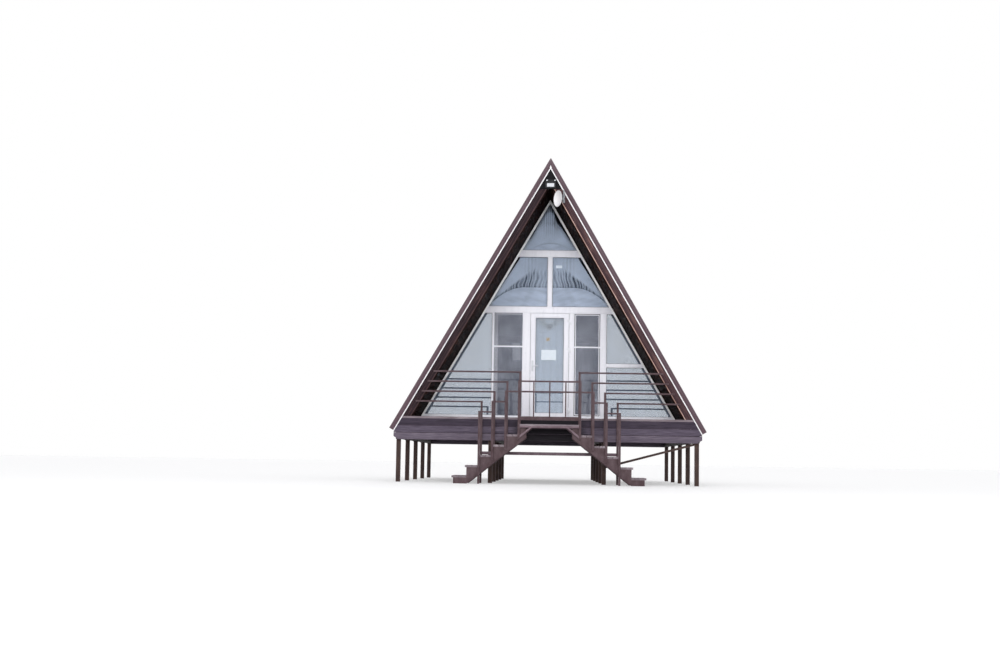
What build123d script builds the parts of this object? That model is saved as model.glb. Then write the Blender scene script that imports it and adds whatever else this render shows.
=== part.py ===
from build123d import *
import os
from math import cos, radians, sin, tan

os.makedirs("parts", exist_ok=True)

# A-frame cabin on steel piers, in millimetres.
# X runs across the gable, Y from the front gable to the back, Z up from the ground.
# The origin is on the ground at the middle of the whole footprint.

# Main form
deck_height = 1275            # ground to the top of the deck
rafter_span = 5621            # across the rafters' outer faces at the top of the deck
roof_pitch = 60.1             # degrees
roof_length = 7500            # front barge boards to back barge boards
roof_foot_drop = 288          # deck down to the foot of the roof boards' inner faces
veranda_depth = 1300          # front barge boards to the window wall
back_overhang = 300           # back wall to the back barge boards
fit_gap = 1                   # clearance between timbers that lie side by side
ridge_joint = 2               # gap of the plumb joint between the two slopes' pieces

# Roof build-up, square to the slope
rafter_depth = 150
rafter_thickness = 50
frame_count = 10              # pairs of rafters
lining_thickness = 12
board_thickness = 32
cover_thickness = 30
cover_rib_height = 20
cover_rib_foot = 90
cover_rib_top = 50
cover_rib_count = 24          # ribs down each slope
cover_rib_end = 5             # ribs stop this far short of the ridge
cover_edge = 30               # plain strip at each verge, beside the outer ribs
barge_depth = 135
barge_thickness = 25
strip_thickness = 20          # white strip over the lower edge of the roof boards
strip_height = 20
trim_height = 90              # dark trim from the strip up over the edge of the roof cover
trim_thickness = 20
trim_lip = 5                  # the trim's upper half stands this much further out
trim_flange_width = 110
trim_flange_thickness = 6
ridge_cap_width = 190         # down each slope
ridge_cap_thickness = 6

# Floor
floor_thickness = 40
joist_depth = 200
joist_thickness = 50
bearer_depth = 200
bearer_width = 100
outer_bearer_inset = 59       # its middle, inside the rafters' outer faces at their feet
inner_bearer_x = 1100
fascia_thickness = 30
fascia_end_out = 7            # plumb end, beyond the foot of the roof boards' inner face
fascia_end_height = 92        # plumb end, above the chamfer
fascia_corner_width = 95      # chamfer at its lower corner
fascia_corner_height = 60

# Piers
pier_size = 85
pier_rows = 5
pier_inset = 85               # barge boards' face to the middle of the end rows
pier_cap_size = 110
pier_cap_thickness = 8
brace_size = 45
brace_thickness = 40
brace_drop = 55               # bearer's underside to the brace's lower edge at the outer pier
brace_fall = 460              # from the outer pier to the inner one

# Window wall, heights above the deck
wall_frame_depth = 70
wall_frame_clearance = 24     # between the roof lining and the sloping frames
sloping_frame_width = 32
sill_height = 75
threshold_height = 20
transom_height = 121
lower_transom_low = 2173
upper_transom_low = 3332
side_transom_height = 56
side_transom_low = 1087
left_mullion = (-1141, -1038)
left_jamb = (-531, -373)
right_jamb = (415, 513)
right_mullion = (1056, 1166)
centre_mullion = (-26, 54)
glass_thickness = 24
glass_recess = 16             # frame's outer face to the glass

# Door
door_clearance = 5
door_thickness = 60
door_stile = 92
door_bottom_rail = 103
door_top_rail = 84
door_glass_recess = 18
handle_height = 1090
hinge_heights = (200, 1420, 1990)
hinge_barrel_radius = 9
hinge_barrel_length = 50      # each half
hinge_pin_radius = 5
hinge_pin_clearance = 0.3
hinge_half_gap = 0.5
hinge_standoff = 12           # pivot to the door's outer face
hinge_flap_width = 45
hinge_flap_thickness = 6
hinge_flap_gap = 3            # between a flap and the pivot line
handle_plate_width = 40
handle_plate_height = 220
handle_plate_thickness = 8
handle_neck_radius = 9
handle_neck_length = 38
lever_length = 125
lever_height = 20
lever_thickness = 14
lever_overhang = 12           # past the neck

# Curtains
curtain_thickness = 30
curtain_gap = 0.3             # between a curtain and the frame that it hangs on
curtain_overlap = 10          # over the frames, square to the slope
curtain_floor_gap = 25
curtain_top_overlap = 40      # over the transoms
door_curtain_thickness = 15
door_curtain_overlap = 14

# Back wall, heights above the deck
back_wall_thickness = 150
loft_window_width = 800
loft_window_low = 2620
loft_window_high = 3420
room_window_width = 800
room_window_low = 900
room_window_high = 2000
room_window_x = 1000
window_frame_width = 60
window_frame_depth = 90
window_frame_proud = 15

# Landing and stair
stair_centre = 37             # middle of the stair, right of the ridge line
landing_drop = 150            # below the deck
landing_half_width = 555
stair_width = 870             # clear, between the two rows of posts
landing_board = 30
landing_frame_depth = 35
landing_frame_width = 40
tread_count = 5               # in each flight
ground_step = 150             # last tread down to the ground
going = 247
tread_thickness = 40
tread_nosing = 30             # past the riser line below
stringer_thickness = 40
stringer_depth = 115          # plumb, below the notches
stringer_bearing = 120        # length of the seat under the landing
post_size = 40
rail_size = 30
rail_rise = 880               # top fence rail above the deck
handrail_rise = 818           # above the landing and the treads
mid_rail_drop = 195
toe_board_low = 75            # above the landing
toe_board_height = 70
baluster_size = 24
baluster_spacing = 300
rail_end_out = -66            # slope line where the fence rails end on the barge boards
post_feet = (-440, -640, -860)  # below the deck; the last posts reach the ground
tie_bar_height = 60
tie_bar_drop = 695            # below the deck
knee_brace_size = 50
knee_brace_post_drop = 385    # below the deck, where it meets the post
knee_brace_reach = 205        # from the post's face to its seat under the landing

# Lamp and dish on the front gable
apex_board_drop = 400         # apex to the bottom of the board over the barge boards' joint
apex_board_thickness = 18
lamp_width = 203
lamp_height = 140
lamp_depth = 48
lamp_taper = 18
lamp_drop = 325               # apex to the middle of the lamp
lamp_mount_depth = 22
lamp_mount_width = 60
lamp_mount_height = 90
dish_radius = 159
dish_bowl = 52
dish_shell = 4
dish_turn = 61                # degrees, from straight ahead towards the left
dish_drop = 614               # apex to the dish's middle
dish_arm = 80                 # dish to mast
dish_rings = 6                # straight rings that make up the bowl
dish_neck_radius = 14
mast_x = 262
mast_standoff = 92
mast_radius = 14
mast_top_drop = 433           # apex to the top of the mast
mast_length = 250
mast_clip_drops = (543, 638)  # apex to the middles of the clips
mast_clip_radius = 9
mast_plate_width = 50
mast_plate_height = 70
mast_plate_thickness = 6

# Levels and lines that follow from the sizes above
slope = radians(roof_pitch)
apex_z = deck_height + rafter_span / 2 * tan(slope)
roof_run = (apex_z - deck_height + roof_foot_drop) / sin(slope)
floor_bottom = deck_height - floor_thickness
joist_bottom = floor_bottom - joist_depth
bearer_bottom = joist_bottom - bearer_depth
lining_outer = -rafter_depth
lining_inner = lining_outer - lining_thickness
wall_edge = lining_inner - wall_frame_clearance
pane_edge = wall_edge - sloping_frame_width
floor_edge = -rafter_depth - fit_gap
cover_inner = board_thickness
cover_outer = cover_inner + cover_thickness
rib_outer = cover_outer + cover_rib_height
trim_outer = strip_height + trim_height
stair_reach = rail_size + post_size + stair_width + post_size

front = (stair_reach - roof_length - fascia_thickness) / 2
back = front + roof_length
wall_face = front + veranda_depth
wall_back = wall_face + wall_frame_depth
back_wall_outer = back - back_overhang
back_wall_inner = back_wall_outer - back_wall_thickness

inner_post_back = front - rail_size
inner_post_face = inner_post_back - post_size
outer_post_back = inner_post_face - stair_width
outer_post_face = outer_post_back - post_size

sill_top = deck_height + sill_height
lower_transom_z = (deck_height + lower_transom_low, deck_height + lower_transom_low + transom_height)
upper_transom_z = (deck_height + upper_transom_low, deck_height + upper_transom_low + transom_height)
side_transom_z = (deck_height + side_transom_low, deck_height + side_transom_low + side_transom_height)
landing_top = deck_height - landing_drop
rise = (landing_top - ground_step) / tread_count
landing_bottom = landing_top - landing_board - landing_frame_depth


def slope_x(z, out):
    """Half width, at height z, of the sloping plane that lies `out` outside the rafters."""
    return (apex_z + out / cos(slope) - z) / tan(slope)


def peak_z(out):
    """Height where the two planes that lie `out` outside the rafters meet."""
    return apex_z + out / cos(slope)


def on_slope(run, out, side):
    """Point (x, z) that is `run` down the slope and `out` outside the rafters."""
    return side * (run * cos(slope) + out * sin(slope)), apex_z - run * sin(slope) + out * cos(slope)


def elevation(y):
    """Upright plane across the cabin, seen from the front; what it extrudes comes forward."""
    return Plane.XZ.offset(-y)


def rectangle(x0, x1, z0, z1, mode=Mode.ADD):
    """Rectangle between two corners."""
    Polygon((x0, z0), (x1, z0), (x1, z1), (x0, z1), align=None, mode=mode)


def gable(out, low, high=None, mode=Mode.ADD):
    """Area under both slopes from one level to another, or up to the peak."""
    if high is None:
        Polygon((-slope_x(low, out), low), (slope_x(low, out), low), (0, peak_z(out)), align=None, mode=mode)
    else:
        Polygon(
            (-slope_x(low, out), low), (slope_x(low, out), low),
            (slope_x(high, out), high), (-slope_x(high, out), high),
            align=None, mode=mode,
        )


def band(inner, outer, foot_z, side, joint=0):
    """One side of a band under the slope, plumb at the ridge and level at its foot."""
    plumb = joint / 2
    Polygon(
        (side * plumb, peak_z(inner) - plumb * tan(slope)),
        (side * plumb, peak_z(outer) - plumb * tan(slope)),
        (side * slope_x(foot_z, outer), foot_z),
        (side * slope_x(foot_z, inner), foot_z),
        align=None,
    )


def square_band(inner, outer, run, side, joint=0):
    """One side of a band along the slope, plumb at the ridge and square at its foot."""
    plumb = joint / 2
    Polygon(
        (side * plumb, peak_z(inner) - plumb * tan(slope)),
        (side * plumb, peak_z(outer) - plumb * tan(slope)),
        on_slope(run, outer, side), on_slope(run, inner, side),
        align=None,
    )


def save(name, builder):
    """Label a finished piece and write it."""
    builder.part.label = name
    export_step(builder.part, f"parts/{name}.step")


# Piers on a grid of rows and bearer lines, with cap plates
outer_bearer_x = slope_x(joist_bottom, 0) - outer_bearer_inset
row_pitch = (roof_length - 2 * pier_inset) / (pier_rows - 1)
row_ys = [front + pier_inset + row * row_pitch for row in range(pier_rows)]
pier_xs = (-outer_bearer_x, -inner_bearer_x, inner_bearer_x, outer_bearer_x)
pier_spots = [(x, y) for y in row_ys for x in pier_xs]
cap_bottom = bearer_bottom - pier_cap_thickness

with BuildPart() as piers:
    with BuildSketch(Plane.XY):
        with Locations(*pier_spots):
            Rectangle(pier_size, pier_size)
    extrude(amount=cap_bottom)
save("piers", piers)

with BuildPart() as pier_caps:
    with BuildSketch(Plane.XY.offset(cap_bottom)):
        with Locations(*pier_spots):
            Rectangle(pier_cap_size, pier_cap_size)
    extrude(amount=pier_cap_thickness)
save("pier_caps", pier_caps)

with BuildPart() as pier_brace:
    brace_outer_x = outer_bearer_x - pier_size / 2
    brace_inner_x = inner_bearer_x + pier_size / 2
    high = bearer_bottom - brace_drop
    low = high - brace_fall
    with BuildSketch(elevation(row_ys[0] + brace_thickness / 2)):
        Polygon(
            (brace_inner_x, low), (brace_outer_x, high),
            (brace_outer_x, high + brace_size), (brace_inner_x, low + brace_size),
            align=None,
        )
    extrude(amount=brace_thickness)
save("pier_brace", pier_brace)

# Floor frame
with BuildPart() as floor_bearers:
    with BuildSketch(elevation(back)):
        for x in pier_xs:
            rectangle(x - bearer_width / 2, x + bearer_width / 2, bearer_bottom, joist_bottom)
    extrude(amount=roof_length)
save("floor_bearers", floor_bearers)

frame_first = front + barge_thickness + rafter_thickness
frame_pitch = (roof_length - 2 * barge_thickness - rafter_thickness) / (frame_count - 1)
frame_ys = [frame_first + index * frame_pitch for index in range(frame_count)]

with BuildPart() as floor_joists:
    with BuildSketch(*[elevation(y) for y in frame_ys]):
        gable(floor_edge, joist_bottom, floor_bottom)
    extrude(amount=joist_thickness)
save("floor_joists", floor_joists)


with BuildPart() as fascias:
    half_width = roof_run * cos(slope) + fascia_end_out
    turn_z = peak_z(-fit_gap) - half_width * tan(slope)
    chamfer_z = turn_z - fascia_end_height
    right_end = [
        (slope_x(floor_bottom, -fit_gap), floor_bottom), (half_width, turn_z), (half_width, chamfer_z),
        (half_width - fascia_corner_width, chamfer_z - fascia_corner_height),
    ]
    with BuildSketch(elevation(front), elevation(back + fascia_thickness)):
        Polygon(*right_end, *[(-x, z) for x, z in reversed(right_end)], align=None)
    extrude(amount=fascia_thickness)
save("fascias", fascias)

# Decks: the veranda's boards run out over the front fascia
with BuildPart() as veranda_deck:
    with BuildSketch(elevation(wall_face)):
        gable(floor_edge, floor_bottom, deck_height)
    extrude(amount=veranda_depth)
    with BuildSketch(elevation(front)):
        gable(-fit_gap, floor_bottom, deck_height)
    extrude(amount=fascia_thickness)
save("veranda_deck", veranda_deck)

with BuildPart() as cabin_floor:
    with BuildSketch(elevation(back)):
        gable(floor_edge, floor_bottom, deck_height)
    extrude(amount=back - wall_face)
save("cabin_floor", cabin_floor)

with BuildPart() as loft_floor:
    with BuildSketch(elevation(back_wall_inner)):
        gable(lining_inner - fit_gap, *lower_transom_z)
    extrude(amount=back_wall_inner - wall_back)
save("loft_floor", loft_floor)

# Roof: the two slopes meet in a plumb joint along the ridge
with BuildPart() as rafters:
    with BuildSketch(*[elevation(y) for y in frame_ys]):
        for side in (-1, 1):
            band(-rafter_depth, 0, joist_bottom, side, ridge_joint)
    extrude(amount=rafter_thickness)
save("rafters", rafters)

with BuildPart() as roof_boards:
    with BuildSketch(elevation(back)):
        for side in (-1, 1):
            square_band(0, board_thickness, roof_run, side, ridge_joint)
    extrude(amount=roof_length)
save("roof_boards", roof_boards)

with BuildPart() as roof_lining:
    with BuildSketch(elevation(back - barge_thickness)):
        for side in (-1, 1):
            band(lining_inner, lining_outer, deck_height, side, ridge_joint)
    extrude(amount=roof_length - 2 * barge_thickness)
save("roof_lining", roof_lining)

with BuildPart() as roof_cover:
    with BuildSketch(elevation(back)):
        for side in (-1, 1):
            square_band(cover_inner, cover_outer, roof_run, side, ridge_joint)
    extrude(amount=roof_length)
save("roof_cover", roof_cover)

with BuildPart() as roof_ribs:
    rib_pitch = (roof_length - 2 * cover_edge - cover_rib_foot) / (cover_rib_count - 1)
    rib_length = roof_run + cover_outer * tan(slope) - cover_rib_end
    for side in (-1, 1):
        foot_x, foot_z = on_slope(roof_run, cover_outer, side)
        up_slope = (-side * cos(slope), 0, sin(slope))
        foot_plane = Plane(origin=(foot_x, (front + back) / 2, foot_z), x_dir=(0, 1, 0), z_dir=up_slope)
        rib_top = cover_rib_height if foot_plane.y_dir.Z > 0 else -cover_rib_height
        with BuildSketch(foot_plane) as rib_feet:
            with GridLocations(rib_pitch, 0, cover_rib_count, 1):
                Polygon(
                    (-cover_rib_foot / 2, 0), (cover_rib_foot / 2, 0),
                    (cover_rib_top / 2, rib_top), (-cover_rib_top / 2, rib_top),
                    align=None,
                )
        extrude(rib_feet.sketch, amount=rib_length)
save("roof_ribs", roof_ribs)

with BuildPart() as ridge_cap:
    with BuildSketch(elevation(back)):
        for side in (-1, 1):
            square_band(rib_outer, rib_outer + ridge_cap_thickness, ridge_cap_width, side)
    extrude(amount=roof_length)
save("ridge_cap", ridge_cap)

# Verges: a white strip along the boards' edge, a stepped dark trim above it over the edges of the
# boards and the cover, and the flange of the trim over the cover's ribs
with BuildPart() as verge_strips:
    with BuildSketch(elevation(front), elevation(back + strip_thickness)):
        for side in (-1, 1):
            square_band(0, strip_height, roof_run, side, ridge_joint)
    extrude(amount=strip_thickness)
save("verge_strips", verge_strips)


with BuildPart() as verge_trims:
    step = strip_height + trim_height / 2
    upper_thickness = trim_thickness + trim_lip
    with BuildSketch(elevation(front), elevation(back + trim_thickness)) as lower_halves:
        for side in (-1, 1):
            square_band(strip_height, step, roof_run, side, ridge_joint)
    extrude(lower_halves.sketch, amount=trim_thickness)
    with BuildSketch(elevation(front), elevation(back + upper_thickness)) as upper_halves:
        for side in (-1, 1):
            square_band(step, trim_outer, roof_run, side, ridge_joint)
    extrude(upper_halves.sketch, amount=upper_thickness)
save("verge_trims", verge_trims)

with BuildPart() as verge_flanges:
    flange_inner = rib_outer + ridge_cap_thickness
    with BuildSketch(elevation(front + trim_flange_width), elevation(back)):
        for side in (-1, 1):
            square_band(flange_inner, flange_inner + trim_flange_thickness, roof_run, side, ridge_joint)
    extrude(amount=trim_flange_width)
save("verge_flanges", verge_flanges)

with BuildPart() as barge_boards:
    with BuildSketch(elevation(front + barge_thickness), elevation(back)):
        for side in (-1, 1):
            band(-barge_depth, 0, joist_bottom, side, ridge_joint)
    extrude(amount=barge_thickness)
save("barge_boards", barge_boards)

with BuildPart() as apex_board:
    with BuildSketch(elevation(front)):
        gable(-fit_gap, apex_z - apex_board_drop)
    extrude(amount=apex_board_thickness)
save("apex_board", apex_board)

# Window wall
with BuildPart() as sloping_frames:
    with BuildSketch(elevation(wall_back)):
        for side in (-1, 1):
            band(pane_edge, wall_edge, deck_height, side)
    extrude(amount=wall_frame_depth)
save("sloping_frames", sloping_frames)

with BuildPart() as window_sill:
    with BuildSketch(elevation(wall_back)):
        gable(pane_edge, deck_height, sill_top)
        rectangle(left_jamb[0], right_jamb[1], deck_height, sill_top, mode=Mode.SUBTRACT)
        rectangle(left_jamb[1], right_jamb[0], deck_height, deck_height + threshold_height)
    extrude(amount=wall_frame_depth)
save("window_sill", window_sill)

with BuildPart() as wall_mullions:
    with BuildSketch(elevation(wall_back)):
        for x0, x1 in (left_mullion, right_mullion):
            rectangle(x0, x1, sill_top, lower_transom_z[0])
        for x0, x1 in (left_jamb, right_jamb):
            rectangle(x0, x1, deck_height, lower_transom_z[0])
        rectangle(*centre_mullion, lower_transom_z[1], upper_transom_z[0])
    extrude(amount=wall_frame_depth)
save("wall_mullions", wall_mullions)

with BuildPart() as wall_transoms:
    with BuildSketch(elevation(wall_back)):
        gable(pane_edge, *lower_transom_z)
        gable(pane_edge, *upper_transom_z)
        Polygon(
            (right_mullion[1], side_transom_z[0]), (slope_x(side_transom_z[0], pane_edge), side_transom_z[0]),
            (slope_x(side_transom_z[1], pane_edge), side_transom_z[1]), (right_mullion[1], side_transom_z[1]),
            align=None,
        )
    extrude(amount=wall_frame_depth)
save("wall_transoms", wall_transoms)

pane_plane = elevation(wall_face + glass_recess + glass_thickness)

with BuildPart() as window_glass:
    with BuildSketch(pane_plane):
        gable(pane_edge, sill_top)
        gable(pane_edge, *upper_transom_z, mode=Mode.SUBTRACT)
        gable(pane_edge, *lower_transom_z, mode=Mode.SUBTRACT)
        rectangle(*centre_mullion, lower_transom_z[1], upper_transom_z[0], mode=Mode.SUBTRACT)
        for x0, x1 in (left_mullion, (left_jamb[0], right_jamb[1]), right_mullion):
            rectangle(x0, x1, sill_top, lower_transom_z[0], mode=Mode.SUBTRACT)
        rectangle(right_mullion[1], slope_x(sill_top, pane_edge), *side_transom_z, mode=Mode.SUBTRACT)
    extrude(amount=glass_thickness)
save("window_glass", window_glass)

with BuildPart() as window_curtains:
    curtain_edge = pane_edge + curtain_overlap
    with BuildSketch(elevation(wall_back + curtain_gap + curtain_thickness)):
        gable(curtain_edge, upper_transom_z[1] - curtain_top_overlap)
        gable(curtain_edge, lower_transom_z[1] + fit_gap, upper_transom_z[0] + curtain_top_overlap)
        rectangle(*centre_mullion, lower_transom_z[1], upper_transom_z[1], mode=Mode.SUBTRACT)
        gable(curtain_edge, deck_height + curtain_floor_gap, lower_transom_z[0] - fit_gap)
        rectangle(
            left_mullion[1], right_mullion[0], deck_height, lower_transom_z[0], mode=Mode.SUBTRACT,
        )
    extrude(amount=curtain_thickness)
save("window_curtains", window_curtains)

# Back wall with its windows
room_windows = [
    (
        x - room_window_width / 2, x + room_window_width / 2,
        deck_height + room_window_low, deck_height + room_window_high,
    )
    for x in (-room_window_x, room_window_x)
]
loft_window = (
    -loft_window_width / 2, loft_window_width / 2,
    deck_height + loft_window_low, deck_height + loft_window_high,
)
back_windows = [*room_windows, loft_window]

with BuildPart() as back_wall:
    with BuildSketch(elevation(back_wall_outer)):
        gable(lining_inner - fit_gap, deck_height)
        for window in back_windows:
            rectangle(*window, mode=Mode.SUBTRACT)
    extrude(amount=back_wall_thickness)
save("back_wall", back_wall)


def inside(window):
    """The light that a window's frame leaves open."""
    x0, x1, z0, z1 = window
    return (
        x0 + window_frame_width, x1 - window_frame_width, z0 + window_frame_width, z1 - window_frame_width,
    )


with BuildPart() as back_window_frames:
    with BuildSketch(elevation(back_wall_outer + window_frame_proud)):
        for window in back_windows:
            rectangle(*window)
            rectangle(*inside(window), mode=Mode.SUBTRACT)
    extrude(amount=window_frame_depth)
save("back_window_frames", back_window_frames)

with BuildPart() as back_window_glass:
    with BuildSketch(elevation(back_wall_outer + window_frame_proud - glass_recess)):
        for window in back_windows:
            rectangle(*inside(window))
    extrude(amount=glass_thickness)
save("back_window_glass", back_window_glass)

# Railings. Each fence rail of the deck ends on a post of its own, one step further out and down.
post_xs = [landing_half_width + post_size / 2 + index * going for index in range(len(post_feet) + 1)]
post_feet_z = [deck_height + foot for foot in post_feet] + [0]

rail_zs = [deck_height + rail_rise - index * rise for index in range(len(post_xs))]
handrail_tops = [landing_top + handrail_rise - index * rise for index in range(len(post_xs))]

with BuildPart() as deck_rails:
    with BuildSketch(elevation(front)):
        for side in (-1, 1):
            for post_x, rail_z in zip(post_xs, rail_zs):
                near_end = stair_centre + side * (post_x - post_size / 2)
                far_end = side * slope_x(rail_z, rail_end_out)
                rectangle(*sorted((near_end, far_end)), rail_z - rail_size / 2, rail_z + rail_size / 2)
    extrude(amount=rail_size)
save("deck_rails", deck_rails)

with BuildPart() as deck_posts:
    with BuildSketch(elevation(inner_post_back)):
        for side in (-1, 1):
            for post_x, foot_z, rail_z in zip(post_xs, post_feet_z, rail_zs):
                x = stair_centre + side * post_x
                rectangle(x - post_size / 2, x + post_size / 2, foot_z, rail_z + rail_size / 2)
    extrude(amount=post_size)
save("deck_posts", deck_posts)

outer_rail_back = outer_post_back - (post_size - rail_size) / 2

with BuildPart() as stair_railings:
    with BuildSketch(elevation(outer_post_back)) as posts:
        for side in (-1, 1):
            for post_x, foot_z, top in zip(post_xs, post_feet_z, handrail_tops):
                x = stair_centre + side * post_x
                rectangle(x - post_size / 2, x + post_size / 2, foot_z, top)
    extrude(posts.sketch, amount=post_size)
    with BuildSketch(elevation(outer_rail_back)) as rails:
        for side in (-1, 1):
            for near_x, far_x, top in zip(post_xs, post_xs[1:], handrail_tops[1:]):
                ends = sorted((stair_centre + side * near_x, stair_centre + side * far_x))
                rectangle(*ends, top - rail_size, top)
    extrude(rails.sketch, amount=rail_size)
save("stair_railings", stair_railings)

landing_left = stair_centre - landing_half_width
landing_right = stair_centre + landing_half_width
top_rail = (handrail_tops[0] - rail_size, handrail_tops[0])
mid_rail = (top_rail[0] - mid_rail_drop, top_rail[1] - mid_rail_drop)
toe_board = (landing_top + toe_board_low, landing_top + toe_board_low + toe_board_height)

with BuildPart() as landing_rails:
    with BuildSketch(elevation(outer_rail_back)):
        for low, high in (top_rail, mid_rail, toe_board):
            rectangle(landing_left, landing_right, low, high)
    extrude(amount=rail_size)
save("landing_rails", landing_rails)

with BuildPart() as landing_balusters:
    with BuildSketch(elevation(outer_rail_back)):
        for offset in (-baluster_spacing, 0, baluster_spacing):
            x = stair_centre + offset
            rectangle(x - baluster_size / 2, x + baluster_size / 2, toe_board[1], mid_rail[0])
            rectangle(x - baluster_size / 2, x + baluster_size / 2, mid_rail[1], top_rail[0])
    extrude(amount=rail_size)
save("landing_balusters", landing_balusters)

# Landing: boards on a frame, between the posts and the fascia
landing_depth = inner_post_back - outer_post_face
landing_middle = (stair_centre, (inner_post_back + outer_post_face) / 2)

with BuildPart() as landing_frame:
    with BuildSketch(Plane.XY.offset(landing_bottom)):
        with Locations(landing_middle):
            Rectangle(2 * landing_half_width, landing_depth)
            Rectangle(
                2 * (landing_half_width - landing_frame_width), landing_depth - 2 * landing_frame_width,
                mode=Mode.SUBTRACT,
            )
    extrude(amount=landing_frame_depth)
save("landing_frame", landing_frame)

with BuildPart() as landing_boards:
    with BuildSketch(Plane.XY.offset(landing_top - landing_board)):
        with Locations(landing_middle):
            Rectangle(2 * landing_half_width, landing_depth)
    extrude(amount=landing_board)
save("landing_boards", landing_boards)

with BuildPart() as treads:
    with BuildSketch(elevation(inner_post_face)):
        for side in (-1, 1):
            for step in range(1, tread_count + 1):
                top = landing_top - step * rise
                near = landing_half_width + (step - 1) * going + fit_gap
                far = landing_half_width + step * going + tread_nosing
                ends = sorted((stair_centre + side * near, stair_centre + side * far))
                rectangle(*ends, top - tread_thickness, top)
    extrude(amount=stair_width)
save("treads", treads)


def stringer(side):
    """Notched stringer: a seat under the landing, one under each tread, and a level foot."""
    points = [(landing_half_width - stringer_bearing, landing_bottom), (landing_half_width, landing_bottom)]
    for step in range(1, tread_count + 1):
        seat = landing_top - step * rise - tread_thickness
        points.append((landing_half_width + (step - 1) * going, seat))
        points.append((landing_half_width + step * going, seat))
    points.append((landing_half_width + tread_count * going, 0))
    notch_z = landing_top - rise - tread_thickness
    steepness = rise / going
    foot_x = landing_half_width + (notch_z - stringer_depth) / steepness
    points.append((foot_x, 0))
    points.append((
        landing_half_width - stringer_bearing,
        notch_z - stringer_depth + stringer_bearing * steepness,
    ))
    Polygon(*[(stair_centre + side * x, z) for x, z in points], align=None)


with BuildPart() as stringers:
    with BuildSketch(elevation(inner_post_face), elevation(outer_post_back + stringer_thickness)):
        for side in (-1, 1):
            stringer(side)
    extrude(amount=stringer_thickness)
save("stringers", stringers)

with BuildPart() as stair_braces:
    tie_half = post_xs[-1] + post_size / 2
    tie_z = deck_height - tie_bar_drop
    with BuildSketch(elevation(front)) as tie_bar:
        rectangle(
            stair_centre - tie_half, stair_centre + tie_half,
            tie_z - tie_bar_height / 2, tie_z + tie_bar_height / 2,
        )
    extrude(tie_bar.sketch, amount=rail_size)
    knee_z = deck_height - knee_brace_post_drop
    with BuildSketch(elevation(inner_post_back), elevation(outer_post_back)) as knees:
        for side in (-1, 1):
            seat_x = landing_half_width - knee_brace_reach
            points = [
                (landing_half_width, knee_z - knee_brace_size / 2),
                (landing_half_width, knee_z + knee_brace_size / 2),
                (seat_x + knee_brace_size / 2, landing_bottom),
                (seat_x - knee_brace_size / 2, landing_bottom),
            ]
            Polygon(*[(stair_centre + side * x, z) for x, z in points], align=None)
    extrude(knees.sketch, amount=post_size)
save("stair_braces", stair_braces)

# Floodlight in front of the apex board
lamp_z = apex_z - lamp_drop
lamp_seat = front - apex_board_thickness
with BuildPart() as floodlight:
    with BuildSketch(elevation(lamp_seat)) as lamp_mount:
        rectangle(
            -lamp_mount_width / 2, lamp_mount_width / 2,
            lamp_z - lamp_mount_height / 2, lamp_z + lamp_mount_height / 2,
        )
    extrude(lamp_mount.sketch, amount=lamp_mount_depth)
    lamp_back = elevation(lamp_seat - lamp_mount_depth)
    lamp_front = elevation(lamp_seat - lamp_mount_depth - lamp_depth)
    with BuildSketch(lamp_back) as housing_back:
        with Locations((0, lamp_z)):
            RectangleRounded(lamp_width - 2 * lamp_taper, lamp_height - 2 * lamp_taper, lamp_taper / 2)
    with BuildSketch(lamp_front) as housing_front:
        with Locations((0, lamp_z)):
            RectangleRounded(lamp_width, lamp_height, lamp_taper / 2)
    loft([housing_back.sketch, housing_front.sketch])
save("floodlight", floodlight)

# Dish on its mast, turned to the left
turn = radians(dish_turn)
facing = Vector(-sin(turn), -cos(turn), 0)
mast_y = front - mast_standoff
dish_z = apex_z - dish_drop
dish_origin = Vector(mast_x, mast_y, dish_z) + facing * dish_arm

with BuildPart() as dish:
    bowl_radius = (dish_radius ** 2 + dish_bowl ** 2) / (2 * dish_bowl)
    ring_radii = [dish_radius * ring / dish_rings for ring in range(dish_rings + 1)]
    hollow = [(bowl_radius - (bowl_radius ** 2 - radius ** 2) ** 0.5, radius) for radius in ring_radii]
    outside = [(depth - dish_shell, radius) for depth, radius in reversed(hollow)]
    with BuildSketch(Plane(origin=dish_origin, x_dir=facing, z_dir=facing.cross(Vector(0, 0, 1)))):
        Polygon(*hollow, *outside, align=None)
    revolve(axis=Axis(dish_origin, facing))
save("dish", dish)

with BuildPart() as dish_bracket:
    with BuildSketch(Plane.XY.offset(apex_z - mast_top_drop)) as mast:
        with Locations((mast_x, mast_y)):
            Circle(mast_radius)
    extrude(mast.sketch, amount=-mast_length)
    for drop in mast_clip_drops:
        with BuildSketch(elevation(front)) as plate:
            with Locations((mast_x, apex_z - drop)):
                Rectangle(mast_plate_width, mast_plate_height)
        extrude(plate.sketch, amount=mast_plate_thickness)
        with BuildSketch(elevation(front)) as clip:
            with Locations((mast_x, apex_z - drop)):
                Circle(mast_clip_radius)
        extrude(clip.sketch, amount=mast_standoff)
    with BuildSketch(Plane(origin=dish_origin - facing * dish_shell, z_dir=-facing)) as neck:
        Circle(dish_neck_radius)
    extrude(neck.sketch, amount=dish_arm - dish_shell)
save("dish_bracket", dish_bracket)

# Door, hung on the right jamb and opening outwards
leaf_left = left_jamb[1] + door_clearance
leaf_right = right_jamb[0] - door_clearance
leaf_bottom = deck_height + threshold_height + door_clearance
leaf_top = lower_transom_z[0] - door_clearance
leaf_back = wall_face + door_thickness
light = (
    leaf_left + door_stile, leaf_right - door_stile,
    leaf_bottom + door_bottom_rail, leaf_top - door_top_rail,
)

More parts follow.
